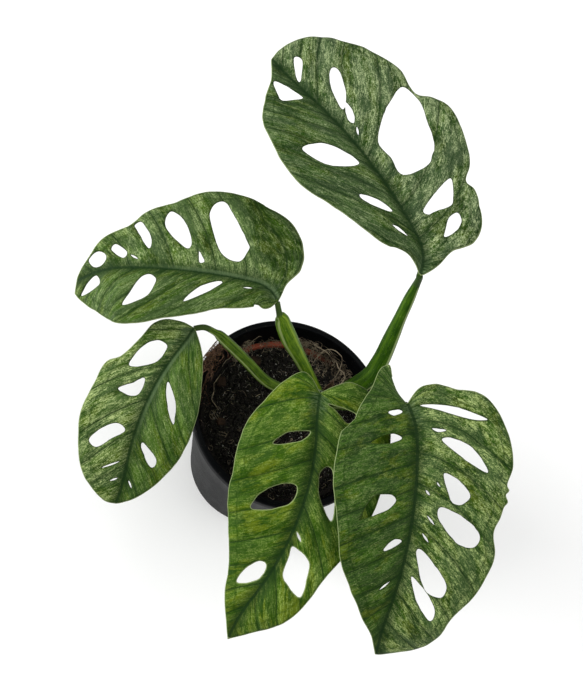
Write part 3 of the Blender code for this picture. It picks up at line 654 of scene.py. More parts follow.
def peat_material():
    """Damp, nearly black peat with fine grey and tan flecks and shreds."""
    shader = Shader("peat", roughness=0.95, Specular_IOR_Level=0.08)
    place = shader.place()
    lumps = shader.noise(place, 2.6 * MM, 5, 0.7)
    flecks = shader.noise(place, 0.7 * MM, 4, 0.7, shift=4)
    shreds = shader.noise(place, (0.6 * MM, 3.4 * MM, 2 * MM), distortion=1.5, shift=9)
    ground = shader.mix(lumps.step(0.38, 0.66), colour(8, 8, 8), colour(30, 27, 23))
    ground = shader.mix(flecks.step(0.57, 0.66) * 0.7, ground, colour(104, 98, 90))
    ground = shader.mix(shreds.step(0.62, 0.72) * 0.5, ground, colour(98, 86, 70))
    shader.bump(lumps * 0.6 + flecks * 0.4, 1.2 * MM, 0.9)
    return shader.finish(ground, 0.85 + 0.1 * flecks)


def bits_material(name, dark, light, pale, cell):
    """Loose bits whose tint changes from one cell to the next, with paler specks."""
    shader = Shader(name, roughness=0.85, Specular_IOR_Level=0.12)
    place = shader.place()
    fine = shader.noise(place, 0.5 * MM)
    ground = shader.mix(shader.cells(place, cell), dark, light)
    ground = shader.mix(fine.step(0.5, 0.72) * 0.5, ground, pale)
    shader.bump(fine, 0.3 * MM, 0.6)
    return shader.finish(ground, 0.75 + 0.15 * fine)


def sheath_material():
    """Papery, dried sheath: pinkish brown with darker veins and a bleached edge."""
    shader = Shader("dry_sheath_paper", roughness=0.75)
    lines = shader.noise(shader.uv("skin"), (0.06, 0.9, FLAT), 4)
    clouds = shader.noise(shader.place(), 4 * MM)
    ground = shader.mix(clouds.step(0.35, 0.65), colour(96, 70, 56), colour(140, 108, 88))
    ground = shader.mix(lines.step(0.52, 0.64) * 0.6, ground, colour(62, 44, 34))
    shader.bump(lines, 0.4 * MM, 0.7)
    return shader.finish(ground, 0.65 + 0.2 * clouds)


def floor_material():
    """Plain, very pale and faintly uneven."""
    shader = Shader("pale_floor", roughness=0.8)
    cloud = shader.noise(shader.place(), 0.5, 2, 0.5)
    return shader.finish(shader.mix(cloud, (0.92, 0.92, 0.92), (0.94, 0.94, 0.935)))


# ---------------------------------------------------------------- meshes


def new_object(name, mesh, *materials):
    obj = bpy.data.objects.new(name, mesh)
    bpy.context.scene.collection.objects.link(obj)
    for mat in materials:
        mesh.materials.append(mat)
    return obj


def made_plain(obj):
    """Puts the object's shape with its modifiers back on it as a plain mesh."""
    bpy.context.view_layer.update()
    graph = bpy.context.evaluated_depsgraph_get()
    mesh = bpy.data.meshes.new_from_object(obj.evaluated_get(graph))
    obj.modifiers.clear()
    old, obj.data = obj.data, mesh
    if not old.users:
        bpy.data.meshes.remove(old)
    return obj


def thickened(obj, thickness, underside_slot=0):
    """Gives a sheet its thickness, half of it to each side."""
    solid = obj.modifiers.new("thickness", "SOLIDIFY")
    solid.thickness = thickness
    solid.offset = 0
    solid.material_offset = underside_slot
    solid.material_offset_rim = 0
    return made_plain(obj)


def mesh_of(name, points, faces):
    mesh = bpy.data.meshes.new(name)
    mesh.from_pydata([tuple(map(float, p)) for p in points], [], faces)
    mesh.shade_smooth()
    return mesh


def mesh_from(edit, name):
    """A new mesh from a bmesh, which is freed."""
    mesh = bpy.data.meshes.new(name)
    edit.to_mesh(mesh)
    edit.free()
    return mesh


def stands_for(obj, slot, *nodes):
    """Makes the piece ride on the plant's one body, in place of its CAD nodes."""
    if nodes:
        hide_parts(*nodes)
    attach(obj, "root")


def set_uv(mesh, name, pairs):
    """A UV map with one pair for each vertex."""
    layer = mesh.uv_layers.new(name=name)
    corners = np.empty(len(mesh.loops), np.int32)
    mesh.loops.foreach_get("vertex_index", corners)
    layer.data.foreach_set("uv", np.asarray(pairs, np.float32)[corners].ravel())


def set_attribute(mesh, name, values):
    made = mesh.attributes.new(name, "FLOAT", "POINT")
    made.data.foreach_set("value", np.asarray(values, np.float32))


def smooth_route(points, steps):
    """Places along a Catmull-Rom curve through points of any dimension, ends included."""
    ends = [points[0], *points, points[-1]]
    route = []
    for i in range(len(points) - 1):
        p0, p1, p2, p3 = ends[i : i + 4]
        for k in range(steps):
            t = k / steps
            route.append(tuple(
                0.5 * (2 * b + (c - a) * t + (2 * a - 5 * b + 4 * c - d) * t * t
                       + (3 * b - a - 3 * c + d) * t**3)
                for a, b, c, d in zip(p0, p1, p2, p3)
            ))
    route.append(tuple(points[-1]))
    return route


def smoothstep(values, low, high):
    share = np.clip((np.asarray(values, float) - low) / (high - low), 0, 1)
    return share * share * (3 - 2 * share)


def unit(vectors):
    return vectors / np.maximum(np.linalg.norm(vectors, axis=-1, keepdims=True), 1e-12)


SEED_STEP = (7.31, 3.17, 5.53)


def waves(points, pitch, seed):
    """A smooth value from -1 to 1 at each point, changing over about pitch metres."""
    shift = Vector([seed * step for step in SEED_STEP])
    return np.array([noise.noise(Vector(p) / pitch + shift) for p in points])


def sweep(name, route, radii, sides, shape=None, up=(0.3, 0.2, 1.0)):
    """A closed tube along a route. shape(share, angles) scales its radius round each ring.

    Angle 0 faces up at the start, and turns no more than the route does.
    """
    route = np.asarray(route, float)
    ahead = unit(np.gradient(route, axis=0))
    normals = np.empty_like(route)
    reference = np.array(up)
    for i, direction in enumerate(ahead):
        normals[i] = reference = unit(reference - direction * (reference @ direction))
    sides_of = np.cross(ahead, normals)
    angles = np.arange(sides) * 2 * math.pi / sides
    shares = np.linspace(0, 1, len(route))
    points = []
    for i, share in enumerate(shares):
        scale = shape(share, angles) if shape else np.ones(sides)
        ring = (np.cos(angles)[:, None] * normals[i] + np.sin(angles)[:, None] * sides_of[i])
        points += list(route[i] + ring * (radii[i] * scale)[:, None])
    faces = []
    for i in range(len(route) - 1):
        for k in range(sides):
            low, high = i * sides, (i + 1) * sides
            after = (k + 1) % sides
            faces.append((low + k, low + after, high + after, high + k))
    faces.append(tuple(reversed(range(sides))))
    faces.append(tuple(range((len(route) - 1) * sides, len(route) * sides)))
    mesh = mesh_of(name, points, faces)
    turn = np.tile(angles / (2 * math.pi), len(route))
    lengths = np.concatenate([[0], np.cumsum(np.linalg.norm(np.diff(route, axis=0), axis=1))])
    set_uv(mesh, "skin", np.stack([turn, np.repeat(lengths, sides)], -1))
    return mesh


def joined(name, meshes):
    """Several meshes as one, with their UV maps and attributes."""
    edit = bmesh.new()
    for mesh in meshes:
        edit.from_mesh(mesh)
    made = mesh_from(edit, name)
    for mesh in meshes:
        bpy.data.meshes.remove(mesh)
    made.shade_smooth()
    return made


# ---------------------------------------------------------------- leaves


class Blade:
    """Bends a flat leaf into its place in the air. Flat places are arrays in metres."""

    STEPS = 120

    def __init__(self, leaf):
        self.leaf = leaf
        self.length = leaf.length * MM
        shares = (np.arange(self.STEPS) + 0.5) / self.STEPS
        steps = self.direction(shares) * (self.length / self.STEPS)
        base = np.array(CROWN) + np.array(leaf.base) * MM
        self.midrib = np.vstack([base, base + np.cumsum(steps, axis=0)])

    def direction(self, shares):
        heading = np.radians(np.interp(shares, STATIONS, self.leaf.headings))
        pitch = np.radians(np.interp(shares, STATIONS, self.leaf.pitches))
        flat = np.cos(pitch)
        return np.stack([flat * np.cos(heading), flat * np.sin(heading), np.sin(pitch)], -1)

    def on_midrib(self, x):
        stations = np.linspace(0, self.length, self.STEPS + 1)
        middle = np.stack([np.interp(x, stations, self.midrib[:, k]) for k in range(3)], -1)
        before = np.minimum(x, 0)[:, None] * self.direction(0.0)
        after = np.maximum(x - self.length, 0)[:, None] * self.direction(1.0)
        return middle + before + after

    def places(self, x, y, lift):
        """The places in the air of flat points, lifted off the upper side."""
        x, y, lift = (np.asarray(v, float) for v in (x, y, lift))
        ahead = self.direction(x / self.length)
        left = unit(np.stack([-ahead[:, 1], ahead[:, 0], np.zeros(len(x))], -1))
        upper = np.cross(ahead, left)
        side = (y < 0).astype(int)
        fold = np.radians(np.array(self.leaf.fold))[side]
        curl = np.radians(np.array(self.leaf.curl))[side] / (100 * MM)
        away, sign, steps = np.abs(y), np.where(y < 0, -1.0, 1.0), 4
        angles = [fold + curl * away * (k + 0.5) / steps for k in range(steps)]
        across = sum(np.cos(a) for a in angles) * away / steps * sign
        rise = sum(np.sin(a) for a in angles) * away / steps
        slope = fold + curl * away
        normal = upper * np.cos(slope)[:, None] - left * (np.sin(slope) * sign)[:, None]
        return (self.on_midrib(x) + left * across[:, None] + upper * rise[:, None]
                + normal * lift[:, None])


LOBE_RADIUS = 24 * MM
LOBE_VEINS = (-70 * MM, -50 * MM, -32 * MM)
FIRST_VEIN = -16 * MM
VEIN_GAP = 19 * MM
NARROWEST_GAP = 7 * MM
SMALL_WINDOW = 9 * MM
SLIT_WIDTH = 1.2


def vein_space(leaf, x, y):
    """Where each flat point's lateral vein starts on the midrib; below 0 behind the stalk."""
    length = leaf.length * MM
    side = (y < 0).astype(int)
    start, more, sweep_on = (np.array([fan[k] for fan in leaf.fans])[side] for k in range(3))
    away = np.abs(y)
    ahead = x - sweep_on * away**2 / length
    place = (ahead - start * away) / (1 + more * away / length)
    turned_back = np.arctan2(away, ahead) - np.arctan2(1, start)
    return np.where(place < 0, -LOBE_RADIUS * turned_back, place)


def vein_starts(leaf, side):
    """The lateral veins' starts along the midrib: one between each two windows, none far apart."""
    middles = []
    for window in leaf.windows:
        edge = np.array(window) * MM
        if (edge[:, 1].mean() < 0) == side and np.ptp(edge, axis=0).max() > SMALL_WINDOW:
            middles.append(vein_space(leaf, edge[:, 0], edge[:, 1]).mean())
    starts = list(LOBE_VEINS)
    bounds = [FIRST_VEIN, *sorted(middles), leaf.length * 1.02 * MM]
    for low, high in zip(bounds, bounds[1:]):
        if high - low > NARROWEST_GAP:
            starts.append((low + high) / 2)
    filled = [starts[0]]
    for start in starts[1:]:
        pieces = max(1, round((start - filled[-1]) / VEIN_GAP))
        first = filled[-1]
        filled += [first + (start - first) * (k + 1) / pieces for k in range(pieces)]
    filled.append(leaf.length * 1.15 * MM)
    return np.array(filled)


def closed_route(points, steps):
    """Places along a closed Catmull-Rom curve through points, the first not repeated."""
    wrapped = [points[-1], *points, points[0], points[1]]
    return smooth_route(wrapped, steps)[steps : (len(points) + 1) * steps]


def window_outline(window, seed):
    """A window's closed edge, rounded through its points and faintly uneven."""
    points = np.array(closed_route(window, 6)) * MM
    middle = points.mean(axis=0)
    uneven = waves(np.column_stack([points, np.zeros(len(points))]), 4 * MM, seed) * 0.45 * MM
    return points + unit(points - middle) * uneven[:, None]


def slit_outline(slit):
    """A slit's closed edge, as four points: its two ends and its sides half way along."""
    start, end = np.array(slit[:2]), np.array(slit[2:])
    middle, along = (start + end) / 2, unit(end - start)
    aside = np.array([-along[1], along[0]]) * SLIT_WIDTH / 2
    return [tuple(p) for p in (start, middle + aside, end, middle - aside)]


def leaf_outline(leaf, seed):
    """The closed flat outline: sinus, left margin, tip, right margin, faintly scalloped."""
    left = smooth_route(leaf.left, 10)
    right = smooth_route(leaf.right, 10)
    points = np.array(left[:-1] + right[:0:-1]) * MM
    middle = points.mean(axis=0)
    scallop = waves(np.column_stack([points, np.zeros(len(points))]), 6 * MM, seed) * 0.3 * MM
    near_base = smoothstep(np.linalg.norm(points, axis=1), 4 * MM, 14 * MM)
    return points + unit(points - middle) * (scallop * near_base)[:, None]


def inside(points, loop):
    """Whether each flat point lies inside a closed loop."""
    x, y = points[:, 0], points[:, 1]
    found = np.zeros(len(points), bool)
    for (x1, y1), (x2, y2) in zip(loop, np.roll(loop, -1, axis=0)):
        if y1 != y2:
            crosses = ((y1 > y) != (y2 > y)) & (x < x1 + (y - y1) / (y2 - y1) * (x2 - x1))
            found ^= crosses
    return found


def distances(points, loops):
    """The distance from each flat point to the nearest place on the closed loops."""
    if not loops:
        return np.full(len(points), 1.0)
    dense = []
    for loop in loops:
        after = np.roll(loop, -1, axis=0)
        dense += [loop + (after - loop) * share for share in (0, 0.25, 0.5, 0.75)]
    dense = np.vstack(dense)
    tree = kdtree.KDTree(len(dense))
    for k, (x, y) in enumerate(dense):
        tree.insert((x, y, 0), k)
    tree.balance()
    return np.array([tree.find((x, y, 0))[2] for x, y in points])


def flat_leaf(leaf, seed):
    """The leaf's flat points and triangles, and its outline and window loops."""
    outline = leaf_outline(leaf, seed)
    holes = [*leaf.windows, *[slit_outline(slit) for slit in leaf.slits]]
    windows = [window_outline(window, seed + k) for k, window in enumerate(holes)]
    loops = [outline, *windows]
    low, high = outline.min(axis=0), outline.max(axis=0)
    columns = np.arange(low[0], high[0], BLADE_GRID * math.sqrt(3) / 2)
    rows = np.arange(math.floor(low[1] / BLADE_GRID), high[1] / BLADE_GRID + 1) * BLADE_GRID
    grid = np.array([(x, y + (i % 2) * BLADE_GRID / 2) for i, x in enumerate(columns) for y in rows])
    kept = inside(grid, outline)
    for window in windows:
        kept &= ~inside(grid, window)
    grid = grid[kept]
    grid = grid[distances(grid, loops) > BLADE_GRID * 0.55]
    edges, start = [], 0
    for loop in loops:
        edges += [(start + k, start + (k + 1) % len(loop)) for k in range(len(loop))]
        start += len(loop)
    points = [Vector(p) for p in np.vstack([*loops, grid])]
    verts, _, faces, *_ = delaunay_2d_cdt(points, edges, [], 0, 1e-8)
    verts = np.array([tuple(vert) for vert in verts])
    middles = np.array([verts[list(face)].mean(axis=0) for face in faces])
    kept = inside(middles, outline)
    for window in windows:
        kept &= ~inside(middles, window)
    return verts, [face for face, keep in zip(faces, kept) if keep], outline, windows


VALLEY_DEPTH = 1.5 * MM
GROOVE_DEPTH = 0.6 * MM


def blade_relief(leaf, x, y, panel, width, margin, hole, seed):
    """Each flat point's height: a grooved midrib and veins, with quilted panels between them."""
    away = np.abs(y)
    share = np.clip(x / (leaf.length * MM), 0, 1)
    flat = np.stack([x, y, np.zeros(len(x))], -1)
    between = np.sin(math.pi * (panel % 1.0))
    off_edge = smoothstep(np.minimum(margin, hole + 2 * MM), 0, 8 * MM)
    off_rib = smoothstep(away, 1 * MM, 9 * MM)
    strength = 0.75 + 0.5 * waves(flat, 24 * MM, seed + 9)
    quilt = np.minimum(width * 0.085, 1.3 * MM) * between**0.8 * off_edge * off_rib * strength
    from_vein = np.abs(panel - np.round(panel)) * width
    veins = -0.3 * MM * np.exp(-((from_vein / (1.4 * MM)) ** 2)) * off_edge
    valley = -VALLEY_DEPTH * np.exp(-((away / (6.5 * MM)) ** 2)) * (1 - 0.5 * share)
    rib = -GROOVE_DEPTH * np.exp(-((away / ((2.2 - 1.3 * share) * MM)) ** 2)) * (1 - 0.5 * share)
    swell = waves(flat, 26 * MM, seed) * 1.1 * MM + waves(flat, 9 * MM, seed + 3) * 0.4 * MM
    crumple = waves(flat, 4 * MM, seed + 13) * 0.14 * MM * off_edge
    frill = waves(flat, 17 * MM, seed + 5) * 0.9 * MM * smoothstep(margin, 12 * MM, 0)
    lip = -0.3 * MM * smoothstep(np.minimum(hole, margin), 2.0 * MM, 0)
    return quilt + veins + valley + rib + swell * off_rib + crumple + frill + lip


def vein_panels(leaf, place, y):
    """Each flat point's place counted in panels between veins, and its panel's width."""
    panel, width = np.empty(len(y)), np.empty(len(y))
    for side in (False, True):
        starts = vein_starts(leaf, side)
        chosen = (y < 0) == side
        panel[chosen] = np.interp(place[chosen], starts, np.arange(len(starts)))
        gaps = np.diff(starts)
        index = np.clip(panel[chosen].astype(int), 0, len(gaps) - 1)
        spread = 1 + np.array(leaf.fans)[int(side), 1] * np.abs(y[chosen]) / (leaf.length * MM)
        width[chosen] = gaps[index] * spread * 0.8
    return panel, width


def make_blade(letter, leaf, seed, underside):
    """A blade with its windows, relief and thickness, and the maps that its material reads."""
    verts, faces, outline, windows = flat_leaf(leaf, seed)
    x, y = verts[:, 0], verts[:, 1]
    place = vein_space(leaf, x, y)
    panel, width = vein_panels(leaf, place, y)
    margin, hole = distances(verts, [outline]), distances(verts, windows)
    lift = blade_relief(leaf, x, y, panel, width, margin, hole, seed)
    mesh = mesh_of("blade_" + letter, Blade(leaf).places(x, y, lift), faces)
    set_uv(mesh, "veins", np.stack([place, y], -1))
    set_uv(mesh, "panels", np.stack([panel, width], -1))
    set_attribute(mesh, "margin", margin)
    set_attribute(mesh, "hole", hole)
    obj = new_object("blade_" + letter, mesh, blade_material(letter, leaf, seed * 13.0), underside)
    edit = bmesh.new()
    edit.from_mesh(mesh)
    bmesh.ops.delete(edit, geom=[v for v in edit.verts if not v.link_faces], context="VERTS")
    edit.normal_update()
    if sum(face.normal.z for face in edit.faces) < 0:
        bmesh.ops.reverse_faces(edit, faces=edit.faces)
    edit.to_mesh(mesh)
    edit.free()
    stands_for(thickened(obj, BLADE_THICKNESS, 1), "leaf_" + letter, "leaf_" + letter)


# ---------------------------------------------------------------- stalks and stem


def stalk_places(letter):
    """A stalk's (x, y, z, radius) places, out of the stem and up to under its leaf's base."""
    stalk = STALKS[letter]
    blade = Blade(LEAVES[letter])
    leaves = math.radians(stalk.leaves)
    reach = STEM_RADIUS * 0.4
    foot_z = SOIL_TOP + (stalk.root_radius + stalk.rise) * MM
    foot = (STEM_MIDDLE.x + reach * math.cos(leaves), STEM_MIDDLE.y + reach * math.sin(leaves), foot_z)
    ahead = blade.direction(0.0)
    left = unit(np.array([-ahead[1], ahead[0], 0]))
    upper = np.cross(ahead, left)
    neck = stalk.neck_radius * MM
    end = blade.midrib[0] - upper * (VALLEY_DEPTH + GROOVE_DEPTH + neck * 0.9)
    places = [(*foot, stalk.root_radius * MM)]
    places += [(*(CROWN + Vector(p[:3]) * MM), p[3] * MM) for p in stalk.route]
    places.append((*end, neck))
    return smooth_route(places, 9)


RIB_STEPS = 60


def rib_places(letter):
    """The midrib's ridge under the blade, from the stalk's neck to the tip."""
    leaf, blade = LEAVES[letter], Blade(LEAVES[letter])
    x = np.linspace(0, leaf.length * MM * 0.96, RIB_STEPS)
    neck = STALKS[letter].neck_radius * MM
    radii = neck * (0.8 - 0.68 * np.linspace(0, 1, RIB_STEPS) ** 0.8)
    depth = -(VALLEY_DEPTH + GROOVE_DEPTH) * (1 - 0.5 * x / (leaf.length * MM)) - radii
    return blade.places(x, np.zeros(RIB_STEPS), depth), radii


STALK_SIDES = 48
WING_ANGLE = 1.5
WING_WIDTH = 0.13
SHEATH_FADE = 0.04


def from_top(angles):
    """Angles round a section, from 0 to a full turn, as turns from its top to either side."""
    return np.where(angles > math.pi, angles - 2 * math.pi, angles)


def wings_at(turn):
    return np.exp(-(((np.abs(turn) - WING_ANGLE) / WING_WIDTH) ** 2))


def stalk_section(sheath_end):
    """How far the skin stands from the middle round the stalk: a soft trough between two wings."""
    def scale(share, angles):
        turn = from_top(angles)
        sheathed = 1 - smoothstep(share, sheath_end - SHEATH_FADE, sheath_end)
        start = 0.4 + 0.6 * smoothstep(share, 0.0, 0.15)
        trough = 0.18 * np.exp(-((turn / 0.8) ** 4))
        return 1 + (0.09 * wings_at(turn) - trough) * sheathed * start - 0.04 * (1 - sheathed)
    return scale


def make_stalk(letter, mat):
    """A stalk with its trough and wings, and its leaf's midrib ridge, as one piece."""
    stalk = STALKS[letter]
    places = np.array(stalk_places(letter))
    shape = stalk_section(stalk.sheath)
    skin = sweep("stalk_" + letter, places[:, :3], places[:, 3], STALK_SIDES, shape, up=(0, 0, 1))
    rings = len(places)
    shares = np.repeat(np.linspace(0, 1, rings), STALK_SIDES)
    turn = from_top(np.tile(np.arange(STALK_SIDES) * 2 * math.pi / STALK_SIDES, rings))
    sheathed = 1 - smoothstep(shares, stalk.sheath - SHEATH_FADE, stalk.sheath)
    below = np.clip(np.abs(turn) - WING_ANGLE, 0, None)
    pale = np.where(below > 0, np.exp(-((below / 0.45) ** 2)), wings_at(turn))
    set_attribute(skin, "wing", pale * sheathed)
    # Where the painted highlight runs: a narrow line down the top.
    set_attribute(skin, "trough_highlight", np.exp(-((turn / 0.22) ** 2)) * sheathed)
    set_attribute(skin, "dull", 1 - sheathed)
    route, radii = rib_places(letter)
    rib = sweep("rib_" + letter, route, radii, 12, up=(0, 0, 1))
    for name, value in (("wing", 0.0), ("trough_highlight", 0.0), ("dull", 0.6)):
        set_attribute(rib, name, np.full(len(rib.vertices), value))
    obj = new_object("stalk_" + letter, joined("stalk_" + letter, [skin, rib]), mat)
    stands_for(obj, "stalks", "petiole_" + letter)


STEM_RINGS = 46


def make_stem(mat):
    """The short stem: knobbly, ringed where old leaves left it, rounded at the top."""
    bottom = STEM_BOX[0].z + 8 * MM
    heights = np.linspace(bottom, CROWN.z, STEM_RINGS)
    above = (heights - SOIL_TOP) / (CROWN.z - SOIL_TOP)
    ringed = 1 + 0.10 * np.exp(-(((above - 0.3) / 0.06) ** 2))
    ringed += 0.12 * np.exp(-(((above - 0.62) / 0.07) ** 2))
    radii = STEM_RADIUS * 0.9 * ringed * np.sqrt(np.clip((1.02 - above) / 0.2, 0.02, 1))
    route = np.array([(STEM_MIDDLE.x, STEM_MIDDLE.y, height) for height in heights])
    route[:, 0] += 0.5 * MM * np.sin(heights / (7 * MM))

    def knobbly(share, angles):
        return 1 + 0.05 * np.sin(3 * angles + 9 * share) + 0.03 * np.sin(7 * angles - 20 * share)

    mesh = sweep("stem", route, radii, 36, knobbly)
    stands_for(new_object("stem", mesh, mat), "stem", "main_stem")


def make_dry_sheath(mat):
    """A thin withered sheath that stands beside the stem, curled in at both edges."""
    rows, columns = 36, 17
    points, uvs = [], []
    height, reach, middle = 24 * MM, STEM_RADIUS + 2.2 * MM, math.radians(70)
    for i in range(rows):
        share = i / (rows - 1)
        half = 3.2 * MM * (1 - share**2.2) + 0.35 * MM
        lean = reach + 3.2 * MM * share**2
        for k in range(columns):
            side = 2 * k / (columns - 1) - 1
            turn = middle + side * half / reach
            curled = lean - 1.4 * MM * side**2 * share + 0.25 * MM * math.sin(9 * side + 14 * share)
            torn = 1.2 * MM * math.sin(11 * side) * share**3
            points.append((STEM_MIDDLE.x + curled * math.cos(turn),
                           STEM_MIDDLE.y + curled * math.sin(turn),
                           SOIL_TOP + 0.5 * MM + height * share + torn))
            uvs.append((side, share))
    faces = [
        (i * columns + k, i * columns + k + 1, (i + 1) * columns + k + 1, (i + 1) * columns + k)
        for i in range(rows - 1) for k in range(columns - 1)
    ]
    mesh = mesh_of("withered_sheath", points, faces)
    set_uv(mesh, "skin", uvs)
    obj = thickened(new_object("withered_sheath", mesh, mat), 0.35 * MM)
    stands_for(obj, "dry_sheath", "dry_sheath")


# ---------------------------------------------------------------- pots


def arc(x, z, radius, start, end, steps=6):
    """Points of an arc in a turned profile, angles in degrees."""
    angles = [math.radians(start + (end - start) * k / steps) for k in range(steps + 1)]
    return [(x + radius * math.cos(a), z + radius * math.sin(a)) for a in angles]


def turned(name, profile, mat):
    """A closed body turned about Z from (radius, z) points that start and end on the axis."""
    edit = bmesh.new()
    verts = [edit.verts.new((radius, 0, z)) for radius, z in profile]
    edges = [edit.edges.new(pair) for pair in zip(verts, verts[1:])]
    bmesh.ops.spin(edit, geom=verts + edges, axis=(0, 0, 1), cent=(0, 0, 0), angle=2 * math.pi,
                   steps=TURNED_STEPS, use_merge=True)
    bmesh.ops.remove_doubles(edit, verts=edit.verts, dist=0.00001)
    bmesh.ops.recalc_face_normals(edit, faces=edit.faces)
    mesh = mesh_from(edit, name)
    mesh.shade_smooth()
    mesh.set_sharp_from_angle(angle=math.radians(35))
    return new_object(name, mesh, mat)


def drain(obj, turn, bottom, top):
    """Cuts the ring of drain holes through a pot's floor."""
    circle = (POT_PAD_RADIUS + POT_FOOT_RADIUS - POT_FOOT_RING) / 2
    edit = bmesh.new()
    for k in range(DRAIN_COUNT):
        angle = turn + 2 * math.pi * k / DRAIN_COUNT
        middle = (circle * math.cos(angle), circle * math.sin(angle), (bottom + top) / 2)
        bmesh.ops.create_cone(edit, cap_ends=True, segments=32, radius1=DRAIN_RADIUS,
                              radius2=DRAIN_RADIUS, depth=top - bottom,
                              matrix=Matrix.Translation(middle))
    posts = new_object("drain_posts", mesh_from(edit, "drain_posts"))
    cut = obj.modifiers.new("drains", "BOOLEAN")
    cut.operation = "DIFFERENCE"
    cut.object = posts
    made_plain(obj)
    bpy.data.meshes.remove(posts.data, do_unlink=True)


def pot_outer_radius(z):
    return POT_FOOT_RADIUS + (POT_RIM_RADIUS - POT_LIP - POT_FOOT_RADIUS) * z / POT_HEIGHT


def make_pot(mat):
    """The black pot: tapered wall, rolled lip, a foot ring and a drained, raised floor."""
    floor = POT_FLOOR_LIFT + POT_FLOOR
    lip_bottom = POT_HEIGHT - POT_LIP_DEPTH
    inner_rim = pot_outer_radius(POT_HEIGHT) - POT_WALL
    inner_foot = pot_outer_radius(floor) - POT_WALL
    ring = POT_FOOT_RADIUS - POT_FOOT_RING
    wall = [pot_outer_radius(lip_bottom * share) for share in (0.66, 0.33)]
    profile = [
        (0, floor), (inner_foot - 2 * MM, floor), *arc(inner_foot - 2 * MM, floor + 2 * MM, 2 * MM, -90, 0),
        *arc(inner_rim + 1.1 * MM, POT_HEIGHT - 1.1 * MM, 1.1 * MM, 180, 90),
        *arc(POT_RIM_RADIUS - 1.5 * MM, POT_HEIGHT - 1.5 * MM, 1.5 * MM, 90, 0),
        *arc(POT_RIM_RADIUS - 0.8 * MM, lip_bottom + 0.8 * MM, 0.8 * MM, 0, -90),
        (pot_outer_radius(lip_bottom) + 0.4 * MM, lip_bottom),
        (pot_outer_radius(lip_bottom), lip_bottom - 0.6 * MM),
        (wall[0], lip_bottom * 0.66), (wall[1], lip_bottom * 0.33),
        *arc(POT_FOOT_RADIUS - 0.7 * MM, 0.8 * MM, 0.8 * MM, 0, -90),
        (ring, 0), (ring - 0.5 * MM, POT_FLOOR_LIFT),
        (POT_PAD_RADIUS + 0.5 * MM, POT_FLOOR_LIFT), (POT_PAD_RADIUS, 0), (0, 0),
    ]
    pot = turned("black_pot", profile, mat)
    drain(pot, 0, -floor, 2 * floor)
    stands_for(pot, "black_pot", "outer_pot")


def make_liner(mat):
    """The thin grow pot inside, with a folded rim."""
    floor = LINER_BOTTOM + LINER_WALL
    lip_bottom = LINER_TOP - LINER_LIP_DEPTH
    neck = LINER_RIM_RADIUS - LINER_LIP

    def outer(z):
        share = (z - LINER_BOTTOM) / (LINER_TOP - LINER_BOTTOM)
        return LINER_FOOT_RADIUS + (neck - LINER_FOOT_RADIUS) * share

    inner_rim = neck - LINER_WALL
    profile = [
        (0, floor), (outer(floor) - LINER_WALL, floor), (inner_rim, LINER_TOP - 1 * MM),
        *arc(inner_rim + 0.9 * MM, LINER_TOP - 0.9 * MM, 0.9 * MM, 180, 90),
        *arc(LINER_RIM_RADIUS - 0.9 * MM, LINER_TOP - 0.9 * MM, 0.9 * MM, 90, 0),
        (LINER_RIM_RADIUS, lip_bottom), (outer(lip_bottom), lip_bottom),
        (LINER_FOOT_RADIUS, LINER_BOTTOM), (0, LINER_BOTTOM),
    ]
    liner = turned("grow_pot", profile, mat)
    drain(liner, math.pi / DRAIN_COUNT, LINER_BOTTOM - LINER_WALL, floor + LINER_WALL)
    stands_for(liner, "terracotta_liner", "liner_pot")
    return inner_rim


# ---------------------------------------------------------------- potting mix


def ground_height(x, y, rim):
    """The mix's surface: lumpy, heaped a little round the stem, and lower at the wall."""
    place = Vector((x, y, 0))
    away = min(1.0, math.hypot(x, y) / rim)
    lumps = noise.fractal(place / (9 * MM), 0.9, 2.1, 5) * 1.3 * MM
    heap = SOIL_HUMP * math.exp(-((x - STEM_MIDDLE.x) ** 2 + (y - STEM_MIDDLE.y) ** 2) / (20 * MM) ** 2)
    return SOIL_TOP + (lumps + heap) * (1 - away**6) + 0.8 * MM * away**4


def make_mix(rim, mat):
    """The potting mix as a closed body with a fine lumpy top, down to the liner's floor."""
    rings, sides = 90, 300
    points = [(0, 0, ground_height(0, 0, rim))]
    for i in range(1, rings + 1):
        radius = rim * i / rings
        for k in range(sides):
            angle = 2 * math.pi * (k + 0.5 * (i % 2)) / sides
            x, y = radius * math.cos(angle), radius * math.sin(angle)
            points.append((x, y, ground_height(x, y, rim)))
    faces = [(0, 1 + k, 1 + (k + 1) % sides) for k in range(sides)]
    for i in range(rings - 1):
        low, high = 1 + i * sides, 1 + (i + 1) * sides
        for k in range(sides):
            after = (k + 1) % sides
            faces.append((low + k, high + k, high + after, low + after))
    top = mesh_of("mix_top", points, faces)
    foot = LINER_BOTTOM + LINER_WALL + 0.5 * MM
    first = 1 + (rings - 1) * sides
    below = len(points)
    scale = (LINER_FOOT_RADIUS - LINER_WALL - 0.5 * MM) / rim
    closed = points + [(x * scale, y * scale, foot) for x, y, _ in points[first:]]
    sidewall = []
    for k in range(sides):
        after = (k + 1) % sides
        sidewall.append((first + k, below + k, below + after, first + after))
    sidewall.append(tuple(reversed(range(below, below + sides))))
    mix = new_object("potting_mix", mesh_of("potting_mix", closed, faces + sidewall), mat)
    stands_for(mix, "soil", "potting_soil")
    return new_object("mix_top", top)


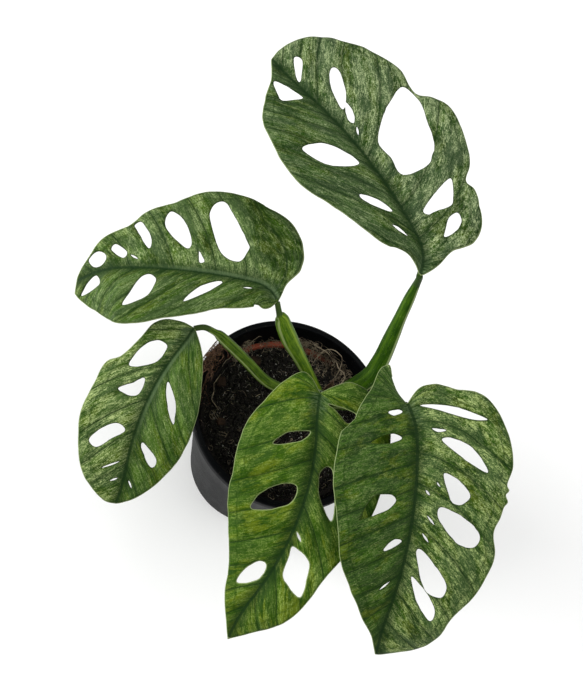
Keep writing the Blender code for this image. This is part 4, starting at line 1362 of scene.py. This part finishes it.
class Tree:
    """A Geometry Nodes tree being made, with named inputs and one Geometry output."""

    def __init__(self, name):
        self.tree = bpy.data.node_groups.new(name, "GeometryNodeTree")
        face = self.tree.interface
        face.new_socket("Geometry", in_out="INPUT", socket_type="NodeSocketGeometry")
        face.new_socket("Geometry", in_out="OUTPUT", socket_type="NodeSocketGeometry")
        self.inputs = {}
        self.entry = self.tree.nodes.new("NodeGroupInput")
        self.exit = self.tree.nodes.new("NodeGroupOutput")

    def input(self, name, kind):
        made = self.tree.interface.new_socket(name, in_out="INPUT", socket_type="NodeSocket" + kind)
        self.inputs[name] = made.identifier
        return self.entry.outputs[made.identifier]

    def node(self, kind, settings=None, sockets=None):
        made = self.tree.nodes.new(kind)
        for name, value in (settings or {}).items():
            setattr(made, name, value)
        for key, value in (sockets or {}).items():
            if isinstance(value, bpy.types.NodeSocket):
                self.tree.links.new(value, made.inputs[key])
            else:
                made.inputs[key].default_value = value
        return made

    def apply(self, source, name, values):
        """Runs the tree on the source object and returns the result as a new plain object."""
        work = bpy.data.objects.new(name, source.data)
        bpy.context.scene.collection.objects.link(work)
        modifier = work.modifiers.new(name, "NODES")
        modifier.node_group = self.tree
        for key, value in values.items():
            modifier[self.inputs[key]] = value
        return made_plain(work)


def scatter_tree(name, shape):
    """Bits strewn over a surface: shape(tree) gives one bit, about 2 across, at the origin."""
    tree = Tree(name)
    density = tree.input("Density", "Float")
    smallest = tree.input("Smallest", "Vector")
    largest = tree.input("Largest", "Vector")
    tilt = tree.input("Tilt", "Float")
    roughen = tree.input("Roughen", "Float")
    lumps = tree.input("Lumps in a metre", "Float")
    seed = tree.input("Seed", "Int")
    mat = tree.input("Material", "Material")
    spots = tree.node("GeometryNodeDistributePointsOnFaces", None,
                      {"Mesh": tree.entry.outputs["Geometry"], "Density": density, "Seed": seed})
    low = tree.node("ShaderNodeCombineXYZ", None, {"Z": 0.0})
    high = tree.node("ShaderNodeCombineXYZ", None, {"X": tilt, "Y": tilt, "Z": 2 * math.pi})
    turn = tree.node("FunctionNodeRandomValue", {"data_type": "FLOAT_VECTOR"},
                     {0: low.outputs[0], 1: high.outputs[0], "Seed": seed})
    size = tree.node("FunctionNodeRandomValue", {"data_type": "FLOAT_VECTOR"},
                     {0: smallest, 1: largest, "Seed": seed})
    put = tree.node("GeometryNodeInstanceOnPoints", None, {
        "Points": spots.outputs["Points"], "Instance": shape(tree),
        "Rotation": turn.outputs[0], "Scale": size.outputs[0],
    })
    real = tree.node("GeometryNodeRealizeInstances", None, {"Geometry": put.outputs[0]})
    place = tree.node("GeometryNodeInputPosition")
    wave = tree.node("ShaderNodeTexNoise", None,
                     {"Vector": place.outputs[0], "Scale": lumps, "Detail": 1.0})
    centred = tree.node("ShaderNodeVectorMath", {"operation": "SUBTRACT"},
                        {0: wave.outputs["Color"], 1: (0.5, 0.5, 0.5)})
    offset = tree.node("ShaderNodeVectorMath", {"operation": "SCALE"},
                       {0: centred.outputs[0], "Scale": roughen})
    moved = tree.node("GeometryNodeSetPosition", None,
                      {"Geometry": real.outputs[0], "Offset": offset.outputs[0]})
    painted = tree.node("GeometryNodeSetMaterial", None,
                        {"Geometry": moved.outputs[0], "Material": mat})
    tree.tree.links.new(painted.outputs[0], tree.exit.inputs[0])
    return tree


def lump(tree):
    """A round bit of 80 faces."""
    return tree.node("GeometryNodeMeshIcoSphere", None, {"Radius": 1.0, "Subdivisions": 2}).outputs[0]


def strand(tree):
    """A thin bent strand, 1 long each way from the middle."""
    line = tree.node("GeometryNodeCurveQuadraticBezier", None, {
        "Resolution": 9, "Start": (-1, 0, 0), "Middle": (0, 0.5, 0.25), "End": (1, 0, 0)})
    ring = tree.node("GeometryNodeCurvePrimitiveCircle", None, {"Resolution": 5, "Radius": 0.036})
    made = tree.node("GeometryNodeCurveToMesh", None,
                     {"Curve": line.outputs[0], "Profile Curve": ring.outputs[0], "Fill Caps": True})
    return made.outputs[0]


# What the bits and fibres are made of: a dark, a light and a speck colour, and a cell's size.
BITS = {
    "peat_crumb": (colour(5, 5, 5), colour(26, 23, 20), colour(96, 92, 84), 2 * MM),
    "perlite": (colour(112, 110, 104), colour(176, 174, 168), colour(206, 206, 200), 3 * MM),
    "bark_bit": (colour(18, 13, 10), colour(52, 36, 26), colour(88, 74, 60), 3 * MM),
    "coir_fibre": (colour(70, 60, 48), colour(152, 138, 116), colour(186, 174, 154), 5 * MM),
    "mix_fibre": (colour(34, 33, 29), colour(150, 146, 134), colour(206, 203, 192), 1.5 * MM),
    "husk_fibre": (colour(30, 19, 14), colour(122, 90, 70), colour(174, 150, 128), 1.5 * MM),
}


class Strewn(NamedTuple):
    """Bits strewn over the mix, so many in a square metre.

    smallest and largest are a bit's half sizes in mm and tilt how far it may lean, in radians.
    Its skin is pushed about by up to about half of roughen, in mm, in so many lumps a metre.
    """

    bit: str
    density: float
    smallest: tuple
    largest: tuple
    tilt: float
    roughen: float
    lumps: float
    seed: int


STREWN = {
    "mix_crumbs": Strewn("peat_crumb", 110000, (0.6, 0.6, 0.5), (2.6, 2.2, 2.0), 3.1, 2.6, 320, 3),
    "perlite_grains": Strewn("perlite", 20000, (0.2, 0.2, 0.15), (0.9, 0.7, 0.6), 3.1, 0.8, 600, 8),
    "bark_bits": Strewn("bark_bit", 6000, (0.5, 0.3, 0.2), (2.2, 1.1, 0.7), 3.1, 1.6, 420, 21),
    "mix_fibres": Strewn("mix_fibre", 78000, (1.0, 1.0, 1.0), (3.6, 3.4, 3.2), 1.1, 2.4, 260, 14),
}


def make_scatter(top, mats):
    """Crumbs, perlite, bark bits and fibres strewn over the mix's top."""
    lumps, strands = scatter_tree("strewn_lumps", lump), scatter_tree("strewn_strands", strand)
    for name, row in STREWN.items():
        tree = strands if name == "mix_fibres" else lumps
        made = tree.apply(top, name, {
            "Density": float(row.density), "Smallest": tuple(v * MM for v in row.smallest),
            "Largest": tuple(v * MM for v in row.largest), "Tilt": row.tilt,
            "Roughen": row.roughen * MM, "Lumps in a metre": float(row.lumps), "Seed": row.seed,
            "Material": mats[row.bit],
        })
        made.data.shade_smooth()
        stands_for(made, "soil")
    bpy.data.objects.remove(top, do_unlink=True)


def rough_route(route, wander, pitch, seed):
    """A route with a fine random wander added to it."""
    points = np.array(route, float)
    shift = np.stack([waves(points, pitch, seed + k) for k in range(3)], -1) * wander
    return points + shift * np.sin(np.linspace(0, math.pi, len(points)))[:, None] ** 0.3


def make_roots(rim, mat):
    """The four wiry roots, each rough and uneven along its route."""
    for index, (name, (radius, route)) in enumerate(ROOTS.items()):
        places = []
        for across, along, rise in route:
            x, y = across / 100 * LINER_RIM_RADIUS, along / 100 * LINER_RIM_RADIUS
            floor = ground_height(x, y, rim) + radius * 0.3 * MM
            places.append((x, y, max(LINER_TOP + rise * MM, floor)))
        points = rough_route(smooth_route(places, 12), 1.2 * MM, 6 * MM, 30 + index)
        radii = radius * MM * (0.75 + 0.35 * waves(points, 3 * MM, 50 + index))
        radii *= 0.35 + 0.65 * np.sin(np.linspace(0.1, math.pi - 0.1, len(points))) ** 0.5
        mesh = sweep("wiry_" + name, points, radii, 10)
        stands_for(new_object("wiry_" + name, mesh, mat), "roots", name)


class Heap(NamedTuple):
    """A heap of fine strands on the liner's rim: how many, bearings and radii, and its height.

    Bearings are in degrees from +X, radii in mm from the pot's axis, and the height in mm
    above the liner's rim is that at the heap's inner and outer side. With on_pot the heap
    lies on the pot's own rim, and its height is that above the rim.
    """

    count: int
    bearings: tuple
    radii: tuple
    heights: tuple
    on_pot: bool = False


HEAPS = {
    "coir_tangle": [
        Heap(190, (36, 82), (54, 60), (3, 10)), Heap(30, (86, 104), (53, 57), (1, 2)),
        Heap(70, (112, 128), (54, 58), (2, 6)), Heap(30, (40, 70), (42, 52), (0.5, 2)),
        Heap(60, (20, 40), (48, 56), (1, 4)), Heap(60, (170, 300), (42, 54), (0.5, 2)),
        Heap(70, (0, 360), (10, 46), (0.5, 1.5)),
    ],
    "husk_fibres": [
        Heap(150, (138, 157), (61.5, 65.5), (1.5, 4.5), True),
        Heap(60, (142, 160), (59, 62), (6, 15)), Heap(40, (156, 172), (57, 61), (1, 6)),
    ],
    "peat_shreds": [Heap(1100, (132, 392), (49, 58.5), (0.6, 2.6))],
}
HEAPED_BITS = {"coir_tangle": "coir_fibre", "husk_fibres": "husk_fibre", "peat_shreds": "peat_crumb"}
COIR_RADII = (0.09 * MM, 0.2 * MM)
HUSK_RADII = (0.1 * MM, 0.25 * MM)
STRAND_LENGTHS = (4, 15)
STRAND_CURL = 0.45
STRAND_WOBBLE = 0.35
STRAND_RISE = 0.5
STRAND_STEPS = 13
STRAND_SIDES = 5


def fine_strand(heap, rim, random):
    """One curly strand: it starts on its heap, wanders, and stays inside the pot's wall."""
    bearing = math.radians(random.uniform(*heap.bearings))
    share = random.uniform(0, 1)
    away = (heap.radii[0] + (heap.radii[1] - heap.radii[0]) * share) * MM
    x, y = away * math.cos(bearing), away * math.sin(bearing)
    top = (heap.heights[0] + (heap.heights[1] - heap.heights[0]) * share**1.6) * MM
    lift = top * random.uniform(0.1, 1) ** 0.7
    stride = random.uniform(*STRAND_LENGTHS) * MM / STRAND_STEPS
    heading = random.uniform(0, 2 * math.pi)
    bend = random.normal(0, STRAND_CURL)
    points = []
    for _ in range(STRAND_STEPS + 1):
        heading += bend + random.normal(0, STRAND_WOBBLE)
        x += stride * math.cos(heading)
        y += stride * math.sin(heading)
        lift = max(0.0, lift + random.normal(0, STRAND_RISE) * stride)
        away = math.hypot(x, y)
        floor = LINER_TOP - 1 * MM if away > rim else ground_height(x, y, rim)
        z = (POT_HEIGHT if heap.on_pot else floor) + 0.2 * MM + lift
        limit = POT_RIM_RADIUS + 1 * MM if heap.on_pot else pot_outer_radius(z) - POT_WALL - 0.6 * MM
        held = min(1.0, limit / away)
        points.append((x * held, y * held, z))
    radius = random.uniform(*(HUSK_RADII if heap.on_pot else COIR_RADII))
    taper = 1 - 0.6 * np.linspace(-1, 1, STRAND_STEPS + 1) ** 4
    return sweep("strand", points, radius * taper, STRAND_SIDES)


def make_tangles(rim, mats):
    """Fine coir strands heaped over the liner's rim, and husk fibres up the wall at the left."""
    random = np.random.default_rng(17)
    for name, heaps in HEAPS.items():
        strands = [fine_strand(heap, rim, random) for heap in heaps for _ in range(heap.count)]
        stands_for(new_object(name, joined(name, strands), mats[HEAPED_BITS[name]]), "roots")


def make_chips(mat):
    """Worn lumps of bark and husk on the mix, in the places that the frame gives."""
    for index, node in enumerate(("bark_chip_left", "bark_chip_middle", "husk_chunk_back")):
        low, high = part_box(node)
        middle, size = (low + high) / 2, (high - low)
        edit = bmesh.new()
        bmesh.ops.create_cube(edit, size=1)
        bmesh.ops.subdivide_edges(edit, edges=edit.edges, cuts=9, use_grid_fill=True)
        for vert in edit.verts:
            rounded = vert.co.normalized() * 0.62
            vert.co = vert.co.lerp(rounded, 0.55)
            rough = noise.fractal(vert.co * 3.2 + Vector((index * 9, 0, 0)), 0.9, 2.0, 4) * 0.12
            layers = 0.05 * math.sin(vert.co.z * 30)
            vert.co *= 1 + rough + layers
            vert.co = Vector((vert.co.x * size.x, vert.co.y * size.y, vert.co.z * size.z)) + middle
        mesh = mesh_from(edit, "worn_" + node)
        mesh.shade_smooth()
        stands_for(new_object("worn_" + node, mesh, mat), "bark", node)


# ---------------------------------------------------------------- studio


VIEW_AZIMUTH, VIEW_ELEVATION, VIEW_ROLL = -33.331, 62.168, 33.328
VIEW_DISTANCE = 648.863 * MM
VIEW_SHIFT = (0.669 * MM, 39.692 * MM)
SENSOR = 36.0
FRAME_HEIGHT_AT_1M = 0.7
SKY_STRENGTH = 0.66
FLOOR_HALF = 4.0


def make_camera():
    """A steep view with its upright turned a little. Returns its right, up and back directions."""
    azimuth, elevation, roll = (math.radians(v) for v in (VIEW_AZIMUTH, VIEW_ELEVATION, VIEW_ROLL))
    back = Vector((math.sin(azimuth) * math.cos(elevation), -math.cos(azimuth) * math.cos(elevation),
                   math.sin(elevation)))
    level = Vector((math.cos(azimuth), math.sin(azimuth), 0))
    upright = back.cross(level)
    up = upright * math.cos(roll) - level * math.sin(roll)
    right = level * math.cos(roll) + upright * math.sin(roll)
    target = Vector((0, 0, POT_HEIGHT))
    place = target + back * VIEW_DISTANCE + right * VIEW_SHIFT[0] + up * VIEW_SHIFT[1]
    data = bpy.data.cameras.new("camera")
    data.sensor_fit = "VERTICAL"
    data.sensor_height = SENSOR
    data.sensor_width = SENSOR
    data.lens = SENSOR / FRAME_HEIGHT_AT_1M
    camera = bpy.data.objects.new("camera", data)
    turn = Matrix((right, up, back)).transposed().to_4x4()
    camera.matrix_world = Matrix.Translation(place) @ turn
    bpy.context.scene.collection.objects.link(camera)
    bpy.context.scene.camera = camera
    return right, up, back


def make_light(name, place, target, size, power):
    data = bpy.data.lights.new(name, "AREA")
    data.shape = "DISK"
    data.size = size
    data.energy = power
    light = bpy.data.objects.new(name, data)
    light.location = place
    light.rotation_euler = (Vector(target) - Vector(place)).to_track_quat("-Z", "Y").to_euler()
    bpy.context.scene.collection.objects.link(light)


def make_studio(right, up, back):
    """A pale floor, a bright even sky and two large soft lights."""
    scene = bpy.context.scene
    scene.view_settings.view_transform = "Standard"
    scene.world = bpy.data.worlds.new("soft_sky")
    scene.world.use_nodes = True
    sky = scene.world.node_tree.nodes["Background"]
    sky.inputs["Color"].default_value = (1, 1, 1, 1)
    sky.inputs["Strength"].default_value = SKY_STRENGTH
    edit = bmesh.new()
    bmesh.ops.create_grid(edit, x_segments=8, y_segments=8, size=FLOOR_HALF)
    new_object("floor", mesh_from(edit, "floor"), floor_material())
    middle = Vector((0, 0, POT_HEIGHT))
    make_light("key", middle + back * 0.7 + up * 0.6 - right * 1.2, middle, 0.9, 26)
    make_light("fill", middle + back * 0.9 + up * 0.2 + right * 0.9, middle, 1.2, 7)


def main():
    make_studio(*make_camera())
    underside = underside_material()
    for index, (letter, leaf) in enumerate(LEAVES.items()):
        make_blade(letter, leaf, index + 1, underside)
    for letter in STALKS:
        make_stalk(letter, stalk_material(letter))
    make_stem(stem_material())
    make_dry_sheath(sheath_material())
    make_pot(pot_material())
    rim = make_liner(liner_material())
    bits = {name: bits_material(name, *look) for name, look in BITS.items()}
    make_scatter(make_mix(rim, peat_material()), bits)
    make_roots(rim, bits["coir_fibre"])
    make_tangles(rim, bits)
    make_chips(bits["bark_bit"])


main()
